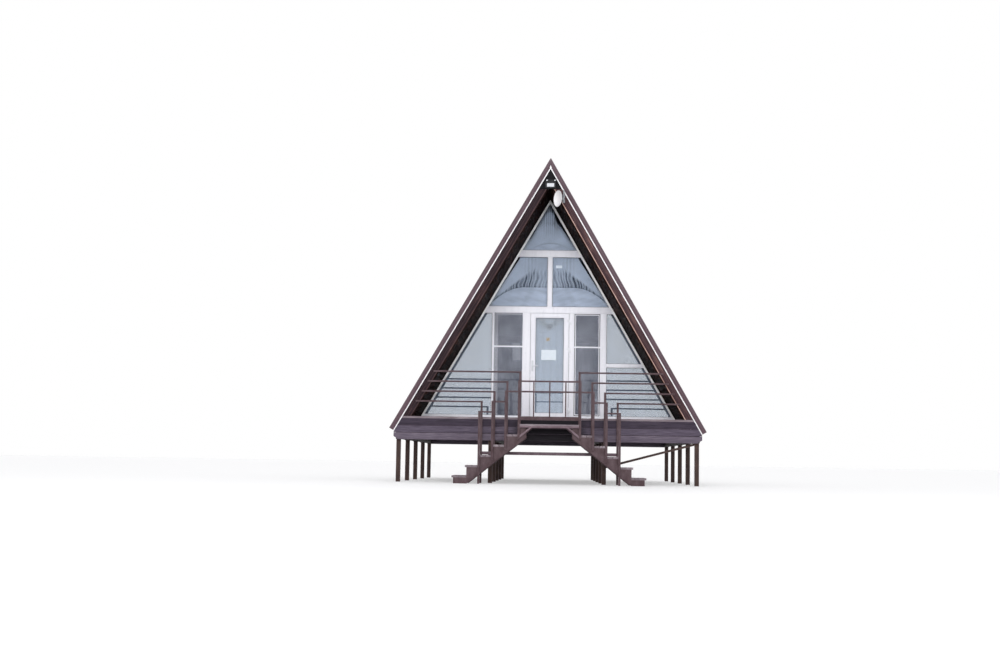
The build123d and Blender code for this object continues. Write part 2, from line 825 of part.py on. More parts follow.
with BuildPart() as door_leaf:
    with BuildSketch(elevation(leaf_back)):
        rectangle(leaf_left, leaf_right, leaf_bottom, leaf_top)
        rectangle(*light, mode=Mode.SUBTRACT)
    extrude(amount=door_thickness)
save("door_leaf", door_leaf)

with BuildPart() as door_glass:
    with BuildSketch(elevation(wall_face + door_glass_recess + glass_thickness)):
        rectangle(*light)
    extrude(amount=glass_thickness)
save("door_glass", door_glass)

with BuildPart() as door_curtain:
    light_left, light_right, light_low, light_high = light
    with BuildSketch(elevation(leaf_back + curtain_gap + door_curtain_thickness)):
        rectangle(
            light_left - door_curtain_overlap, light_right + door_curtain_overlap,
            light_low - door_curtain_overlap, light_high + door_curtain_overlap,
        )
    extrude(amount=door_curtain_thickness)
save("door_curtain", door_curtain)

with BuildPart() as door_handle:
    handle_x = leaf_left + door_stile / 2
    handle_z = deck_height + handle_height
    for face, outward in ((wall_face, -1), (leaf_back, 1)):
        reach = handle_plate_thickness + handle_neck_length
        with BuildSketch(elevation(face)) as handle_plate:
            with Locations((handle_x, handle_z)):
                RectangleRounded(handle_plate_width, handle_plate_height, handle_plate_width / 4)
        extrude(handle_plate.sketch, amount=-outward * handle_plate_thickness)
        with BuildSketch(elevation(face)) as neck:
            with Locations((handle_x, handle_z)):
                Circle(handle_neck_radius)
        extrude(neck.sketch, amount=-outward * reach)
        with BuildSketch(elevation(face + outward * (reach - lever_thickness))) as lever:
            with Locations((handle_x + lever_length / 2 - lever_overhang, handle_z)):
                SlotOverall(lever_length, lever_height)
        extrude(lever.sketch, amount=-outward * lever_thickness)
save("door_handle", door_handle)

# Hinges: barrels on a pin in front of the gap between leaf and jamb
pivot_x = right_jamb[0] - door_clearance / 2
pivot_y = wall_face - hinge_standoff


def hinge_half(z0, side, bore):
    """Barrel and flap of one hinge half; the flap lies on the face beside the pivot."""
    with BuildSketch(Plane.XY.offset(z0)) as half:
        with Locations((pivot_x, pivot_y)):
            Circle(hinge_barrel_radius)
        flap_y = wall_face - hinge_flap_thickness / 2
        flap_x = pivot_x + side * (hinge_flap_gap + hinge_flap_width) / 2
        with Locations((flap_x, flap_y)):
            Rectangle(hinge_flap_width - hinge_flap_gap, hinge_flap_thickness)
        if bore:
            with Locations((pivot_x, pivot_y)):
                Circle(hinge_pin_radius + hinge_pin_clearance, mode=Mode.SUBTRACT)
    extrude(half.sketch, amount=hinge_barrel_length)


with BuildPart() as frame_hinges:
    for height in hinge_heights:
        middle = deck_height + height
        hinge_half(middle - hinge_barrel_length, 1, bore=False)
        with BuildSketch(Plane.XY.offset(middle)) as pin:
            with Locations((pivot_x, pivot_y)):
                Circle(hinge_pin_radius)
        extrude(pin.sketch, amount=hinge_half_gap + hinge_barrel_length)
save("frame_hinges", frame_hinges)

with BuildPart() as door_hinges:
    for height in hinge_heights:
        hinge_half(deck_height + height + hinge_half_gap, -1, bore=True)
save("door_hinges", door_hinges)
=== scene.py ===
"""Dresses the A-frame cabin: boards, glazing, curtains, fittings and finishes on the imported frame.

Lengths are in metres in the frame's own axes: X to the right of someone who faces the glazed gable,
Y from the front gable to the back, Z up from the ground.
"""

import logging
import math
from collections.abc import Callable, Iterable, Sequence
from dataclasses import dataclass, field
from enum import Enum

import bpy
from mathutils import Matrix, Vector


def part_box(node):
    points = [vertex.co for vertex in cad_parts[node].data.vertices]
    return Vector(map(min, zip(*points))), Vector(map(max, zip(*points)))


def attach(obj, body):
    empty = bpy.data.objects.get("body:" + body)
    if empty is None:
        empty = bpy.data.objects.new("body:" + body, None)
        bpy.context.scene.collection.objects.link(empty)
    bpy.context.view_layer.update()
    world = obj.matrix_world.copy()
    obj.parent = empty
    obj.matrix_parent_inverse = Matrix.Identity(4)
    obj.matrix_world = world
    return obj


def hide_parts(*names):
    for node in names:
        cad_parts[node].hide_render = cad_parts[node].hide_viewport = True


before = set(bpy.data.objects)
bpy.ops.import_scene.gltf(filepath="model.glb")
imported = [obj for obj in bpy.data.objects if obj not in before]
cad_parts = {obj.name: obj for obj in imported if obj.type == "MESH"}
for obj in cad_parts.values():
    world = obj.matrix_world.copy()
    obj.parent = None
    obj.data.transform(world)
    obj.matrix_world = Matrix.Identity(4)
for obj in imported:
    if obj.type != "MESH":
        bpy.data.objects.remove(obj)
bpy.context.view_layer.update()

log = logging.getLogger("cabin")
# Short names for the types that recur.
Mesh = bpy.types.Object
Tree = bpy.types.NodeTree
Node = bpy.types.Node
Socket = bpy.types.NodeSocket
Outline = Sequence[tuple[float, float]]
Corners = list[tuple[float, float]]
Edge = Callable[[float], float]
Fold = Callable[[float, float], tuple[float, float]]

# Limits in a mesh: edges that are rounded, edges that are shaded smooth, doubled points, flat faces,
# and sides of an outline that have no length.
SHARP_EDGE = math.radians(25)
SMOOTH_EDGE = math.radians(35)
SAME_POINT = 0.00002
SAME_FACE = math.radians(0.4)
NO_LENGTH = 1e-6

SIDES = ((-1, "left"), (1, "right"))


# ---------------------------------------------------------------------------------- bench work


def deselect() -> None:
    """Leaves nothing selected."""
    bpy.ops.object.select_all(action="DESELECT")


def take(piece: Mesh) -> Mesh:
    """Makes one piece the selected and active one."""
    deselect()
    piece.select_set(True)
    bpy.context.view_layer.objects.active = piece
    return piece


def block(low: Sequence[float], high: Sequence[float]) -> Mesh:
    """Adds a block between two corners."""
    deselect()
    middle = [(a + b) / 2 for a, b in zip(low, high)]
    bpy.ops.mesh.primitive_cube_add(size=1, location=middle)
    piece = bpy.context.object
    piece.scale = [b - a for a, b in zip(low, high)]
    bpy.ops.object.transform_apply(location=True, rotation=False, scale=True)
    return piece


def rectangle(x0: float, x1: float, z0: float, z1: float) -> Corners:
    """Corners of an upright rectangle in X and Z."""
    return [(x0, z0), (x1, z0), (x1, z1), (x0, z1)]


def settled() -> Mesh:
    """The active object, with its place, turn and scale settled into its mesh."""
    bpy.ops.object.transform_apply(location=True, rotation=True, scale=True)
    return bpy.context.object


def cylinder(
    radius: float, depth: float, place: Sequence[float], sides: int, angles: Sequence[float] = (0, 0, 0),
) -> Mesh:
    """Adds a short upright cylinder, or one that is turned by the given angles."""
    bpy.ops.mesh.primitive_cylinder_add(
        vertices=sides, radius=radius, depth=depth, location=place, rotation=angles,
    )
    return settled()


def plate(outline: Outline, near: float, far: float) -> Mesh:
    """Adds an upright plate.

    Args:
        outline: Corners in X and Z.
        near: Y of the face with that outline.
        far: Y that the face is extruded to.

    Returns:
        The closed plate.
    """
    piece = flat(outline, near)
    bpy.ops.object.mode_set(mode="EDIT")
    bpy.ops.mesh.select_all(action="SELECT")
    bpy.ops.mesh.extrude_region_move(TRANSFORM_OT_translate={"value": (0, far - near, 0)})
    return close_up(piece)


def flat(outline: Outline, y: float) -> Mesh:
    """Adds one upright face with the outline's corners in X and Z."""
    deselect()
    bpy.ops.mesh.primitive_circle_add(vertices=len(outline), fill_type="NGON")
    piece = bpy.context.object
    for vertex, (x, z) in zip(piece.data.vertices, outline):
        vertex.co = (x, y, z)
    return piece


def close_up(piece: Mesh) -> Mesh:
    """Turns all faces of the piece in edit mode outwards and leaves edit mode."""
    bpy.ops.mesh.select_all(action="SELECT")
    bpy.ops.mesh.normals_make_consistent(inside=False)
    bpy.ops.object.mode_set(mode="OBJECT")
    return piece


def ring(outline: Outline, width: float, near: float, far: float, shrink: float = 0.0) -> Mesh:
    """Adds a flat frame of even width inside an outline.

    Args:
        outline: Outer corners in X and Z.
        width: Width of the frame.
        near: Y of its one face.
        far: Y of its other face.
        shrink: How far the frame's outer edge lies inside the outline.

    Returns:
        The closed frame.
    """
    piece = flat(outline, near)
    bpy.ops.object.mode_set(mode="EDIT")
    bpy.ops.mesh.select_mode(type="FACE")
    bpy.ops.mesh.select_all(action="SELECT")
    if shrink:
        bpy.ops.mesh.inset(thickness=shrink, depth=0)
        bpy.ops.mesh.select_all(action="INVERT")
        bpy.ops.mesh.delete(type="FACE")
        bpy.ops.mesh.select_all(action="SELECT")
    bpy.ops.mesh.inset(thickness=width, depth=0)
    bpy.ops.mesh.delete(type="FACE")
    bpy.ops.mesh.select_all(action="SELECT")
    bpy.ops.mesh.extrude_region_move(TRANSFORM_OT_translate={"value": (0, far - near, 0)})
    return close_up(piece)


def modify(piece: Mesh, kind: str, **settings: object) -> Mesh:
    """Adds a modifier with its settings and applies it."""
    take(piece)
    modifier = piece.modifiers.new(kind.title(), kind)
    for name, value in settings.items():
        setattr(modifier, name, value)
    bpy.ops.object.modifier_apply(modifier=modifier.name)
    return piece


def ease(piece: Mesh, width: float, steps: int = 2, worn: bool = False) -> Mesh:
    """Rounds every sharp edge.

    Args:
        piece: The piece, in place.
        width: Width of the rounding.
        steps: Faces across it.
        worn: Whether the rounded faces take the piece's second finish.

    Returns:
        The same piece.
    """
    modify(
        piece, "BEVEL", width=width, segments=steps, limit_method="ANGLE", angle_limit=SHARP_EDGE,
        material=1 if worn else -1,
    )
    bpy.ops.object.shade_smooth_by_angle(angle=SMOOTH_EDGE)
    return piece


def repeat(piece: Mesh, count: int, step: Sequence[float]) -> Mesh:
    """Repeats a piece in a straight row."""
    return modify(
        piece, "ARRAY", count=count, use_relative_offset=False, use_constant_offset=True,
        constant_offset_displace=tuple(step),
    )


def join(pieces: Iterable[Mesh]) -> Mesh:
    """Joins several pieces into the first one."""
    parts = list(pieces)
    take(parts[0])
    for part in parts[1:]:
        part.select_set(True)
    if len(parts) > 1:
        bpy.ops.object.join()
    return parts[0]


def turn(piece: Mesh, matrix: Matrix) -> Mesh:
    """Moves a piece by a matrix and settles its place into its mesh."""
    piece.matrix_world = matrix @ piece.matrix_world
    take(piece)
    return settled()


def copy_of(node: str) -> Mesh:
    """Copies a CAD node as clean faces: doubled points merged, flat faces made whole."""
    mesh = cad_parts[node].data.copy()
    mesh.materials.clear()
    piece = bpy.data.objects.new(node, mesh)
    bpy.context.scene.collection.objects.link(piece)
    take(piece)
    bpy.ops.object.mode_set(mode="EDIT")
    bpy.ops.mesh.select_all(action="SELECT")
    bpy.ops.mesh.remove_doubles(threshold=SAME_POINT)
    bpy.ops.mesh.dissolve_limited(angle_limit=SAME_FACE)
    bpy.ops.object.mode_set(mode="OBJECT")
    return piece


def coat(piece: Mesh, *finishes: "Finish") -> Mesh:
    """Gives a piece its finishes: the first covers all, a second one is on worn edges."""
    for finish in finishes:
        piece.data.materials.append(finish.material())
    return piece


def fit(
    piece: Mesh, name: str, finishes: Sequence["Finish"], replaces: Sequence[str] = (),
    body: str = "cabin",
) -> Mesh:
    """Names, finishes and mounts a finished piece.

    Args:
        piece: The piece, in place.
        name: Its name in the scene.
        finishes: Its finishes; the first covers all, a second one is on worn edges.
        replaces: CAD nodes that it stands for.
        body: The body that it moves with.

    Returns:
        The same piece.
    """
    piece.name = name
    piece.data.name = name
    if not piece.data.materials:
        coat(piece, *finishes)
    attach(piece, body)
    if replaces:
        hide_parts(*replaces)
    log.info("%s: %d faces", name, len(piece.data.polygons))
    return piece


def dress(
    node: str, name: str, finishes: Sequence["Finish"], width: float, body: str = "cabin",
    steps: int = 2,
) -> Mesh:
    """Replaces a CAD node by a copy of itself with rounded edges; a second finish goes on the edges."""
    piece = coat(copy_of(node), *finishes)
    ease(piece, width, steps, worn=len(finishes) > 1)
    return fit(piece, name, finishes, (node,), body)


# ---------------------------------------------------------------------------------- finishes


def srgb(code: str) -> tuple[float, float, float, float]:
    """Turns an sRGB hex value to a linear colour."""
    parts = [int(code[i:i + 2], 16) / 255 for i in (1, 3, 5)]
    return (*(p / 12.92 if p <= 0.04045 else ((p + 0.055) / 1.055) ** 2.4 for p in parts), 1.0)


def plug(tree: Tree, made: Node, inputs: dict) -> None:
    """Links sockets to a node's inputs, and sets the inputs that get a plain value."""
    for name, value in inputs.items():
        if isinstance(value, Socket):
            tree.links.new(value, made.inputs[name])
        else:
            made.inputs[name].default_value = value


def node(tree: Tree, kind: str, inputs: dict | None = None, **settings: object) -> Node:
    """Adds a shader node.

    Args:
        tree: The material's node tree.
        kind: Type of the node, without its ShaderNode prefix.
        inputs: Values or sockets, by the name or number of the input they go to.
        settings: Properties of the node.

    Returns:
        The node.
    """
    made = tree.nodes.new("ShaderNode" + kind)
    for name, value in settings.items():
        setattr(made, name, value)
    plug(tree, made, inputs or {})
    return made


def maths(tree: Tree, operation: str, *values: object) -> Socket:
    """Works up to three values into one."""
    return node(tree, "Math", dict(enumerate(values)), operation=operation).outputs[0]


def times(tree: Tree, first: object, second: object) -> Socket:
    """Multiplies two values."""
    return maths(tree, "MULTIPLY", first, second)


class Grain(Enum):
    """Direction in which a board's grain runs: the order of the axes, the grain's own first."""

    ALONG_X = (0, 1, 2)
    ALONG_Y = (1, 0, 2)
    ALONG_Z = (2, 0, 1)
    DOWN_SLOPE = ()


def object_space(tree: Tree) -> Socket:
    """Object coordinates, in metres."""
    return node(tree, "TexCoord").outputs["Object"]


def grain_space(tree: Tree, grain: Grain, right_shift: float = 7.3) -> Socket:
    """Coordinates whose first axis runs along the grain, in metres.

    Args:
        tree: The material's node tree.
        grain: Direction of the grain.
        right_shift: How far the right slope is moved along Y, so that it does not mirror the left one.

    Returns:
        The coordinates.
    """
    split = node(tree, "SeparateXYZ", {0: object_space(tree)}).outputs
    if grain is not Grain.DOWN_SLOPE:
        return node(tree, "CombineXYZ", {i: split[axis] for i, axis in enumerate(grain.value)}).outputs[0]
    half = maths(tree, "ABSOLUTE", split[0])
    right = maths(tree, "GREATER_THAN", split[0], 0.0)
    shifted = maths(tree, "MULTIPLY_ADD", right, right_shift, split[1])
    upright = node(tree, "CombineXYZ", {0: half, 1: shifted, 2: split[2]}).outputs[0]
    return node(tree, "Mapping", {"Vector": upright, "Rotation": (0, -FORM.pitch, 0)}).outputs[0]


def noise(
    tree: Tree, space: Socket, sizes: Sequence[float], detail: float = 3, rough: float = 0.55,
) -> Socket:
    """Noise whose spots are about as long as the given sizes, in metres, along the three axes."""
    scaled = node(tree, "Mapping", {"Vector": space, "Scale": tuple(1 / size for size in sizes)}).outputs[0]
    settings = {"Vector": scaled, "Scale": 1.0, "Detail": detail, "Roughness": rough}
    return node(tree, "TexNoise", settings).outputs[0]


def between(
    tree: Tree, value: Socket, low: float, high: float, to_low: float = 0.0, to_high: float = 1.0,
) -> Socket:
    """Spreads the part of a value between two limits over another range, and clamps it."""
    return node(tree, "MapRange", {0: value, 1: low, 2: high, 3: to_low, 4: to_high}).outputs[0]


def blend(tree: Tree, amount: Socket, first: str | Socket, second: str | Socket) -> Socket:
    """Mixes two colours, each a hex value or a socket."""
    pair = [srgb(c) if isinstance(c, str) else c for c in (first, second)]
    return node(tree, "Mix", {0: amount, 6: pair[0], 7: pair[1]}, data_type="RGBA").outputs[2]


@dataclass(frozen=True)
class Finish:
    """A finish: makes its material once and hands out the same one after that."""

    name: str

    def material(self) -> bpy.types.Material:
        """The material, made on first use."""
        made = bpy.data.materials.get(self.name)
        if made is None:
            made = bpy.data.materials.new(self.name)
            made.use_nodes = True
            tree = made.node_tree
            self.lay(tree, tree.nodes["Principled BSDF"])
        return made

    def lay(self, tree: Tree, shader: Node) -> None:
        """Builds the finish into the node tree."""
        raise NotImplementedError

    @staticmethod
    def relief(tree: Tree, shader: Node, height: Socket, depth: float, strength: float) -> None:
        """Gives the shader a relief of that depth, in metres."""
        bump = node(tree, "Bump", {"Height": height, "Distance": depth, "Strength": strength})
        plug(tree, shader, {"Normal": bump.outputs[0]})


@dataclass(frozen=True)
class StainedTimber(Finish):
    """Sawn softwood boards under a semi-transparent stain.

    The stain sits dark in the late wood and wears off in streaks along the grain, so the boards differ
    in tone and show a fine ridged relief with a dull sheen.
    """

    body: str
    deep: str
    bare: str
    grain: Grain = Grain.ALONG_X
    wear: float = 0.35
    roughness: float = 0.62
    tone: float = 0.16
    specular: float = 0.25
    # Painted shadow of the landing on the boards behind it: its strength, the inner and outer half widths of
    # the band, and its colour.
    landing_shadow: float = 0.0
    landing_shadow_half: tuple[float, float] = (0.52, 0.74)
    landing_shadow_colour: str = "#0d0b0f"

    def lay(self, tree: Tree, shader: Node) -> None:
        """Builds grain, streaks, worn patches, a tone of its own for each board and, where set, the landing's
        painted shadow.
        """
        space = grain_space(tree, self.grain)
        fine = noise(tree, space, (0.22, 0.006, 0.006), detail=4)
        streak = noise(tree, space, (0.9, 0.035, 0.035), detail=3)
        patch = noise(tree, space, (0.5, 0.14, 0.14), detail=2)
        grained = blend(tree, between(tree, fine, 0.42, 0.66), self.body, self.deep)
        streaked = blend(tree, between(tree, streak, 0.5, 0.72, 0.0, 0.8), grained, self.deep)
        worn = times(tree, between(tree, patch, 0.52, 0.7), between(tree, fine, 0.6, 0.4))
        colour = blend(tree, times(tree, worn, self.wear), streaked, self.bare)
        island = node(tree, "NewGeometry").outputs["Random Per Island"]
        value = between(tree, island, 0.0, 1.0, 1.0 - self.tone, 1.0 + self.tone)
        toned = node(tree, "HueSaturation", {"Value": value, "Color": colour}).outputs[0]
        # Paints the landing's shadow onto the boards behind it.
        if self.landing_shadow:
            toned = self.shaded_behind_landing(tree, toned)
        plug(tree, shader, {
            "Base Color": toned,
            "Roughness": between(tree, fine, 0.3, 0.7, self.roughness - 0.1, self.roughness + 0.16),
            "Specular IOR Level": self.specular,
        })
        self.relief(tree, shader, fine, 0.0014, 0.7)

    def shaded_behind_landing(self, tree: Tree, colour: Socket) -> Socket:
        """Colour with the landing's painted shadow: an almost black band behind it, on the front of the cabin
        only.
        """
        place = node(tree, "SeparateXYZ", {0: object_space(tree)}).outputs
        off = maths(tree, "SUBTRACT", place["X"], FORM.stair_centre)
        away = maths(tree, "ABSOLUTE", off)
        at_front = between(tree, place["Y"], 0.0, -1.0, 0.0, self.landing_shadow)
        inner, outer = self.landing_shadow_half
        return blend(tree, times(tree, between(tree, away, outer, inner), at_front), colour, self.landing_shadow_colour)


@dataclass(frozen=True)
class PaintedSteel(Finish):
    """Mild steel section, brushed with alkyd primer paint.

    The paint is uneven and half dull, with small brown rust spots that bleed a little downwards.
    """

    paint: str
    faded: str
    rust: str
    rusted: float = 0.5
    roughness: float = 0.5
    specular: float = 0.35

    def lay(self, tree: Tree, shader: Node) -> None:
        """Builds mottled paint, rust spots and brush marks."""
        space = object_space(tree)
        mottle = noise(tree, space, (0.09, 0.09, 0.16), detail=4)
        spots = noise(tree, space, (0.012, 0.012, 0.02), detail=5, rough=0.65)
        brush = noise(tree, space, (0.004, 0.004, 0.12), detail=2)
        painted = blend(tree, between(tree, mottle, 0.38, 0.66), self.paint, self.faded)
        eaten = times(tree, between(tree, spots, 0.56, 0.66), between(tree, mottle, 0.4, 0.6))
        colour = blend(tree, times(tree, eaten, self.rusted), painted, self.rust)
        plug(tree, shader, {
            "Base Color": colour,
            "Roughness": between(tree, eaten, 0.0, 1.0, self.roughness, min(1.0, self.roughness + 0.35)),
            "Specular IOR Level": self.specular,
        })
        self.relief(tree, shader, brush, 0.0003, 0.5)


@dataclass(frozen=True)
class CoatedSheet(Finish):
    """Roll-formed steel sheet with a baked polyester coat.

    The coat is even and half matt; dust and chalking run down the slope in soft streaks.
    """

    coat: str
    chalk: str
    streaks: float = 0.5
    roughness: float = 0.42

    def lay(self, tree: Tree, shader: Node) -> None:
        """Builds an even coat with streaks down the slope and a slight waviness of the sheet."""
        space = grain_space(tree, Grain.DOWN_SLOPE)
        run = noise(tree, space, (1.6, 0.05, 0.05), detail=4)
        cloud = noise(tree, space, (0.6, 0.5, 0.5), detail=2)
        dusty = times(tree, between(tree, run, 0.4, 0.75), between(tree, cloud, 0.35, 0.7))
        plug(tree, shader, {
            "Base Color": blend(tree, times(tree, dusty, self.streaks), self.coat, self.chalk),
            "Roughness": between(tree, run, 0.3, 0.7, self.roughness - 0.07, self.roughness + 0.14),
        })
        self.relief(tree, shader, cloud, 0.0022, 0.35)


@dataclass(frozen=True)
class WindowPlastic(Finish):
    """Extruded white uPVC window profile.

    It is smooth and satin with a cool white tone, and holds a little grey dirt in soft vertical runs.
    """

    white: str = "#eeeef6"
    dirt: str = "#c3c4cf"
    dirty: float = 0.4
    roughness: float = 0.3

    def lay(self, tree: Tree, shader: Node) -> None:
        """Builds a satin white with faint runs of dirt."""
        space = object_space(tree)
        runs = noise(tree, space, (0.05, 0.05, 0.5), detail=3)
        specks = noise(tree, space, (0.02, 0.02, 0.03), detail=4)
        soiled = times(tree, between(tree, runs, 0.45, 0.75), between(tree, specks, 0.35, 0.65))
        plug(tree, shader, {
            "Base Color": blend(tree, times(tree, soiled, self.dirty), self.white, self.dirt),
            "Roughness": between(tree, specks, 0.3, 0.7, self.roughness - 0.04, self.roughness + 0.1),
        })


@dataclass(frozen=True)
class FloatGlass(Finish):
    """Clear float glass with a heat-saving coat: two sheets to a unit.

    It mirrors the bright surround with a cold cast over the room, and lets daylight in to the curtains.
    """

    tint: str = "#fdfeff"
    cast: str = "#c2d2f0"
    daylight: str = "#f8fafc"
    bend: float = 1.52

    def lay(self, tree: Tree, shader: Node) -> None:
        """Sets clear glass whose reflection is cold, and which light from outside passes straight through."""
        plug(tree, shader, {
            "Base Color": srgb(self.tint), "Roughness": 0.0, "IOR": self.bend, "Transmission Weight": 1.0,
            "Specular Tint": srgb(self.cast),
        })
        ray = node(tree, "LightPath").outputs
        light = maths(tree, "MAXIMUM", ray["Is Shadow Ray"], ray["Is Diffuse Ray"])
        clear = node(tree, "BsdfTransparent", {"Color": srgb(self.daylight)}).outputs[0]
        through = node(tree, "MixShader", {0: light, 1: shader.outputs[0], 2: clear}).outputs[0]
        plug(tree, tree.nodes["Material Output"], {"Surface": through})


@dataclass(frozen=True)
class InsectMesh(Finish):
    """Grey fibreglass insect mesh.

    Its threads are 0.3 mm thick and 1.4 mm apart, too fine to show, so it is drawn as an even veil with
    dust in it.
    """

    thread: str = "#6a6f80"
    dust: str = "#989cac"
    cover: float = 0.36

    def lay(self, tree: Tree, shader: Node) -> None:
        """Builds a dull veil that shows what is behind it."""
        cloud = noise(tree, object_space(tree), (0.3, 0.3, 0.45), detail=4)
        plug(tree, shader, {
            "Base Color": blend(tree, between(tree, cloud, 0.35, 0.65), self.thread, self.dust),
            "Roughness": 0.8, "Specular IOR Level": 0.2, "Alpha": self.cover,
        })


@dataclass(frozen=True)
class WovenCloth(Finish):
    """Plain-woven polyester curtain.

    Painted shade follows its folds, and a faint sheen lies on the crests of its folds.
    The thread is too fine to show, so the weave is drawn 3 mm wide.
    """

    light: str
    shade: str
    roughness: float = 0.85
    weave: float = 0.003

    def lay(self, tree: Tree, shader: Node) -> None:
        """Builds the weave, and painted shade that follows the folds."""
        space = object_space(tree)
        # The drape's fold value is painted shade: it blends the cloth from its light colour to its shade
        # colour.
        fold = node(tree, "Attribute", attribute_name="fold", attribute_type="GEOMETRY").outputs["Fac"]
        cloud = noise(tree, space, (0.35, 0.35, 0.25), detail=3)
        shaded = blend(tree, fold, self.light, self.shade)
        mottled = blend(tree, between(tree, cloud, 0.35, 0.75, 0.0, 0.22), shaded, self.shade)
        plug(tree, shader, {
            "Base Color": mottled, "Roughness": self.roughness, "Sheen Weight": 0.25, "Sheen Roughness": 0.4,
        })
        wave = {"Vector": space, "Scale": 1 / self.weave / math.tau * 3, "Distortion": 0.6}
        thread, pick = (node(tree, "TexWave", wave, bands_direction=axis).outputs["Fac"] for axis in "XZ")
        self.relief(tree, shader, times(tree, thread, pick), 0.0004, 0.5)


@dataclass(frozen=True)
class SatinMetal(Finish):
    """Bare metal, drawn or die-cast and brushed: grey, with fine lines and soft broken highlights."""

    colour: str
    grain: Grain = Grain.ALONG_Z
    roughness: float = 0.38
    dimmed: float = 0.78

    def lay(self, tree: Tree, shader: Node) -> None:
        """Builds brushed metal."""
        space = grain_space(tree, self.grain)
        lines = noise(tree, space, (0.08, 0.0012, 0.0012), detail=3)
        cloud = noise(tree, space, (0.03, 0.03, 0.03), detail=2)
        parts = [int(int(self.colour[i:i + 2], 16) * self.dimmed) for i in (1, 3, 5)]
        dull = "#" + "".join(f"{part:02x}" for part in parts)
        plug(tree, shader, {
            "Base Color": blend(tree, between(tree, cloud, 0.4, 0.7), self.colour, dull), "Metallic": 1.0,
            "Roughness": between(tree, lines, 0.3, 0.7, self.roughness - 0.1, self.roughness + 0.14),
        })
        self.relief(tree, shader, lines, 0.0001, 0.4)


@dataclass(frozen=True)
class SmoothCoat(Finish):
    """Sprayed powder coat, rubber, paper or straw: one colour, a fine even texture and a little dust."""

    colour: str
    dust: str
    dusty: float = 0.25
    roughness: float = 0.5
    texture: float = 0.0015
    depth: float = 0.00012

    def lay(self, tree: Tree, shader: Node) -> None:
        """Builds a fine texture with a film of dust."""
        space = object_space(tree)
        film = noise(tree, space, (0.06, 0.06, 0.06), detail=4)
        skin = noise(tree, space, (self.texture,) * 3, detail=2)
        dusted = between(tree, film, 0.4, 0.75, 0.0, self.dusty)
        plug(tree, shader, {
            "Base Color": blend(tree, dusted, self.colour, self.dust),
            "Roughness": between(tree, film, 0.3, 0.7, self.roughness - 0.05, self.roughness + 0.12),
        })
        self.relief(tree, shader, skin, self.depth, 0.5)


RAIL_PAINT = PaintedSteel("purple_brown_painted_steel", "#463438", "#58474c", "#33201d", rusted=0.6)
RAIL_EDGE = PaintedSteel("rubbed_steel_edge", "#604d51", "#6e5d60", "#42302c", rusted=0.5, roughness=0.45)
# A lighter copy of the rail paint: painted light on the landing's wide front plate; the stair braces take it
# too.
LIGHTER_LANDING_PAINT = PaintedSteel("lighter_landing_paint", "#64525a", "#796770", "#3d2a27", rusted=0.5)
PIER_PAINT = PaintedSteel(
    "brown_painted_pier_steel", "#352725", "#46352f", "#2e1b14", rusted=0.9, roughness=0.6,
)
# Dark timber for the framing, painted darker still for the shade under the cabin; the rafters take the same
# colours.
FRAME_TIMBER = StainedTimber("shade_darkened_framing", "#241a18", "#150f0e", "#3c2f28", Grain.ALONG_Y, tone=0.1)
SLOPE_TIMBER = StainedTimber(
    "shade_darkened_rafters", "#241a18", "#150f0e", "#3c2f28", Grain.DOWN_SLOPE, tone=0.1,
)
BARGE_DARK = StainedTimber(
    "walnut_stained_barge_boards", "#33242a", "#1d1318", "#56383a", Grain.DOWN_SLOPE, wear=0.6, tone=0.12,
)
# The right barge boards are drawn lighter than the left ones.
BARGE_LIGHTER_RIGHT = StainedTimber(
    "lighter_right_barge_boards", "#4c3639", "#33242a", "#83605a", Grain.DOWN_SLOPE, wear=0.7, tone=0.12,
)
BARGE_EDGE = StainedTimber("worn_barge_edge", "#5c4345", "#3a292c", "#8a6a62", Grain.DOWN_SLOPE, wear=0.8)
# Pale bead on the right barge boards only: a painted highlight along their inner edge, with patches of bare
# wood.
BARGE_BEAD_HIGHLIGHT = StainedTimber("highlit_worn_barge_bead", "#cfada1", "#8e6b62", "#f2e0d8", Grain.DOWN_SLOPE, wear=0.8)
# The fascia boards are darker towards the top: painted shade under the deck's nosing. All three also carry
# the landing's painted shadow.
FASCIA_TOP = StainedTimber("shaded_top_fascia_board", "#3f3644", "#2a232e", "#5b505e", wear=0.4, landing_shadow=0.8)
FASCIA_MIDDLE = StainedTimber("middle_fascia_board", "#5a5160", "#413946", "#786d7c", wear=0.45, landing_shadow=0.9)
FASCIA_LOW = StainedTimber("low_fascia_board", "#6e6472", "#534a57", "#8b808d", wear=0.5, landing_shadow=0.9)
FASCIA_EDGE = StainedTimber("worn_fascia_edge", "#5b4f5b", "#443a47", "#7d717f")
DECK_STAIN = StainedTimber("grey_brown_decking", "#8c8188", "#665a60", "#b0a7ac", wear=0.5)
TREAD_STAIN = StainedTimber("grey_brown_treads", "#887d83", "#64585e", "#afa6ab", Grain.ALONG_Y, wear=0.6)
ROOM_FLOOR = StainedTimber("room_floor_boards", "#5d524c", "#443a35", "#6f6259", Grain.ALONG_Y)
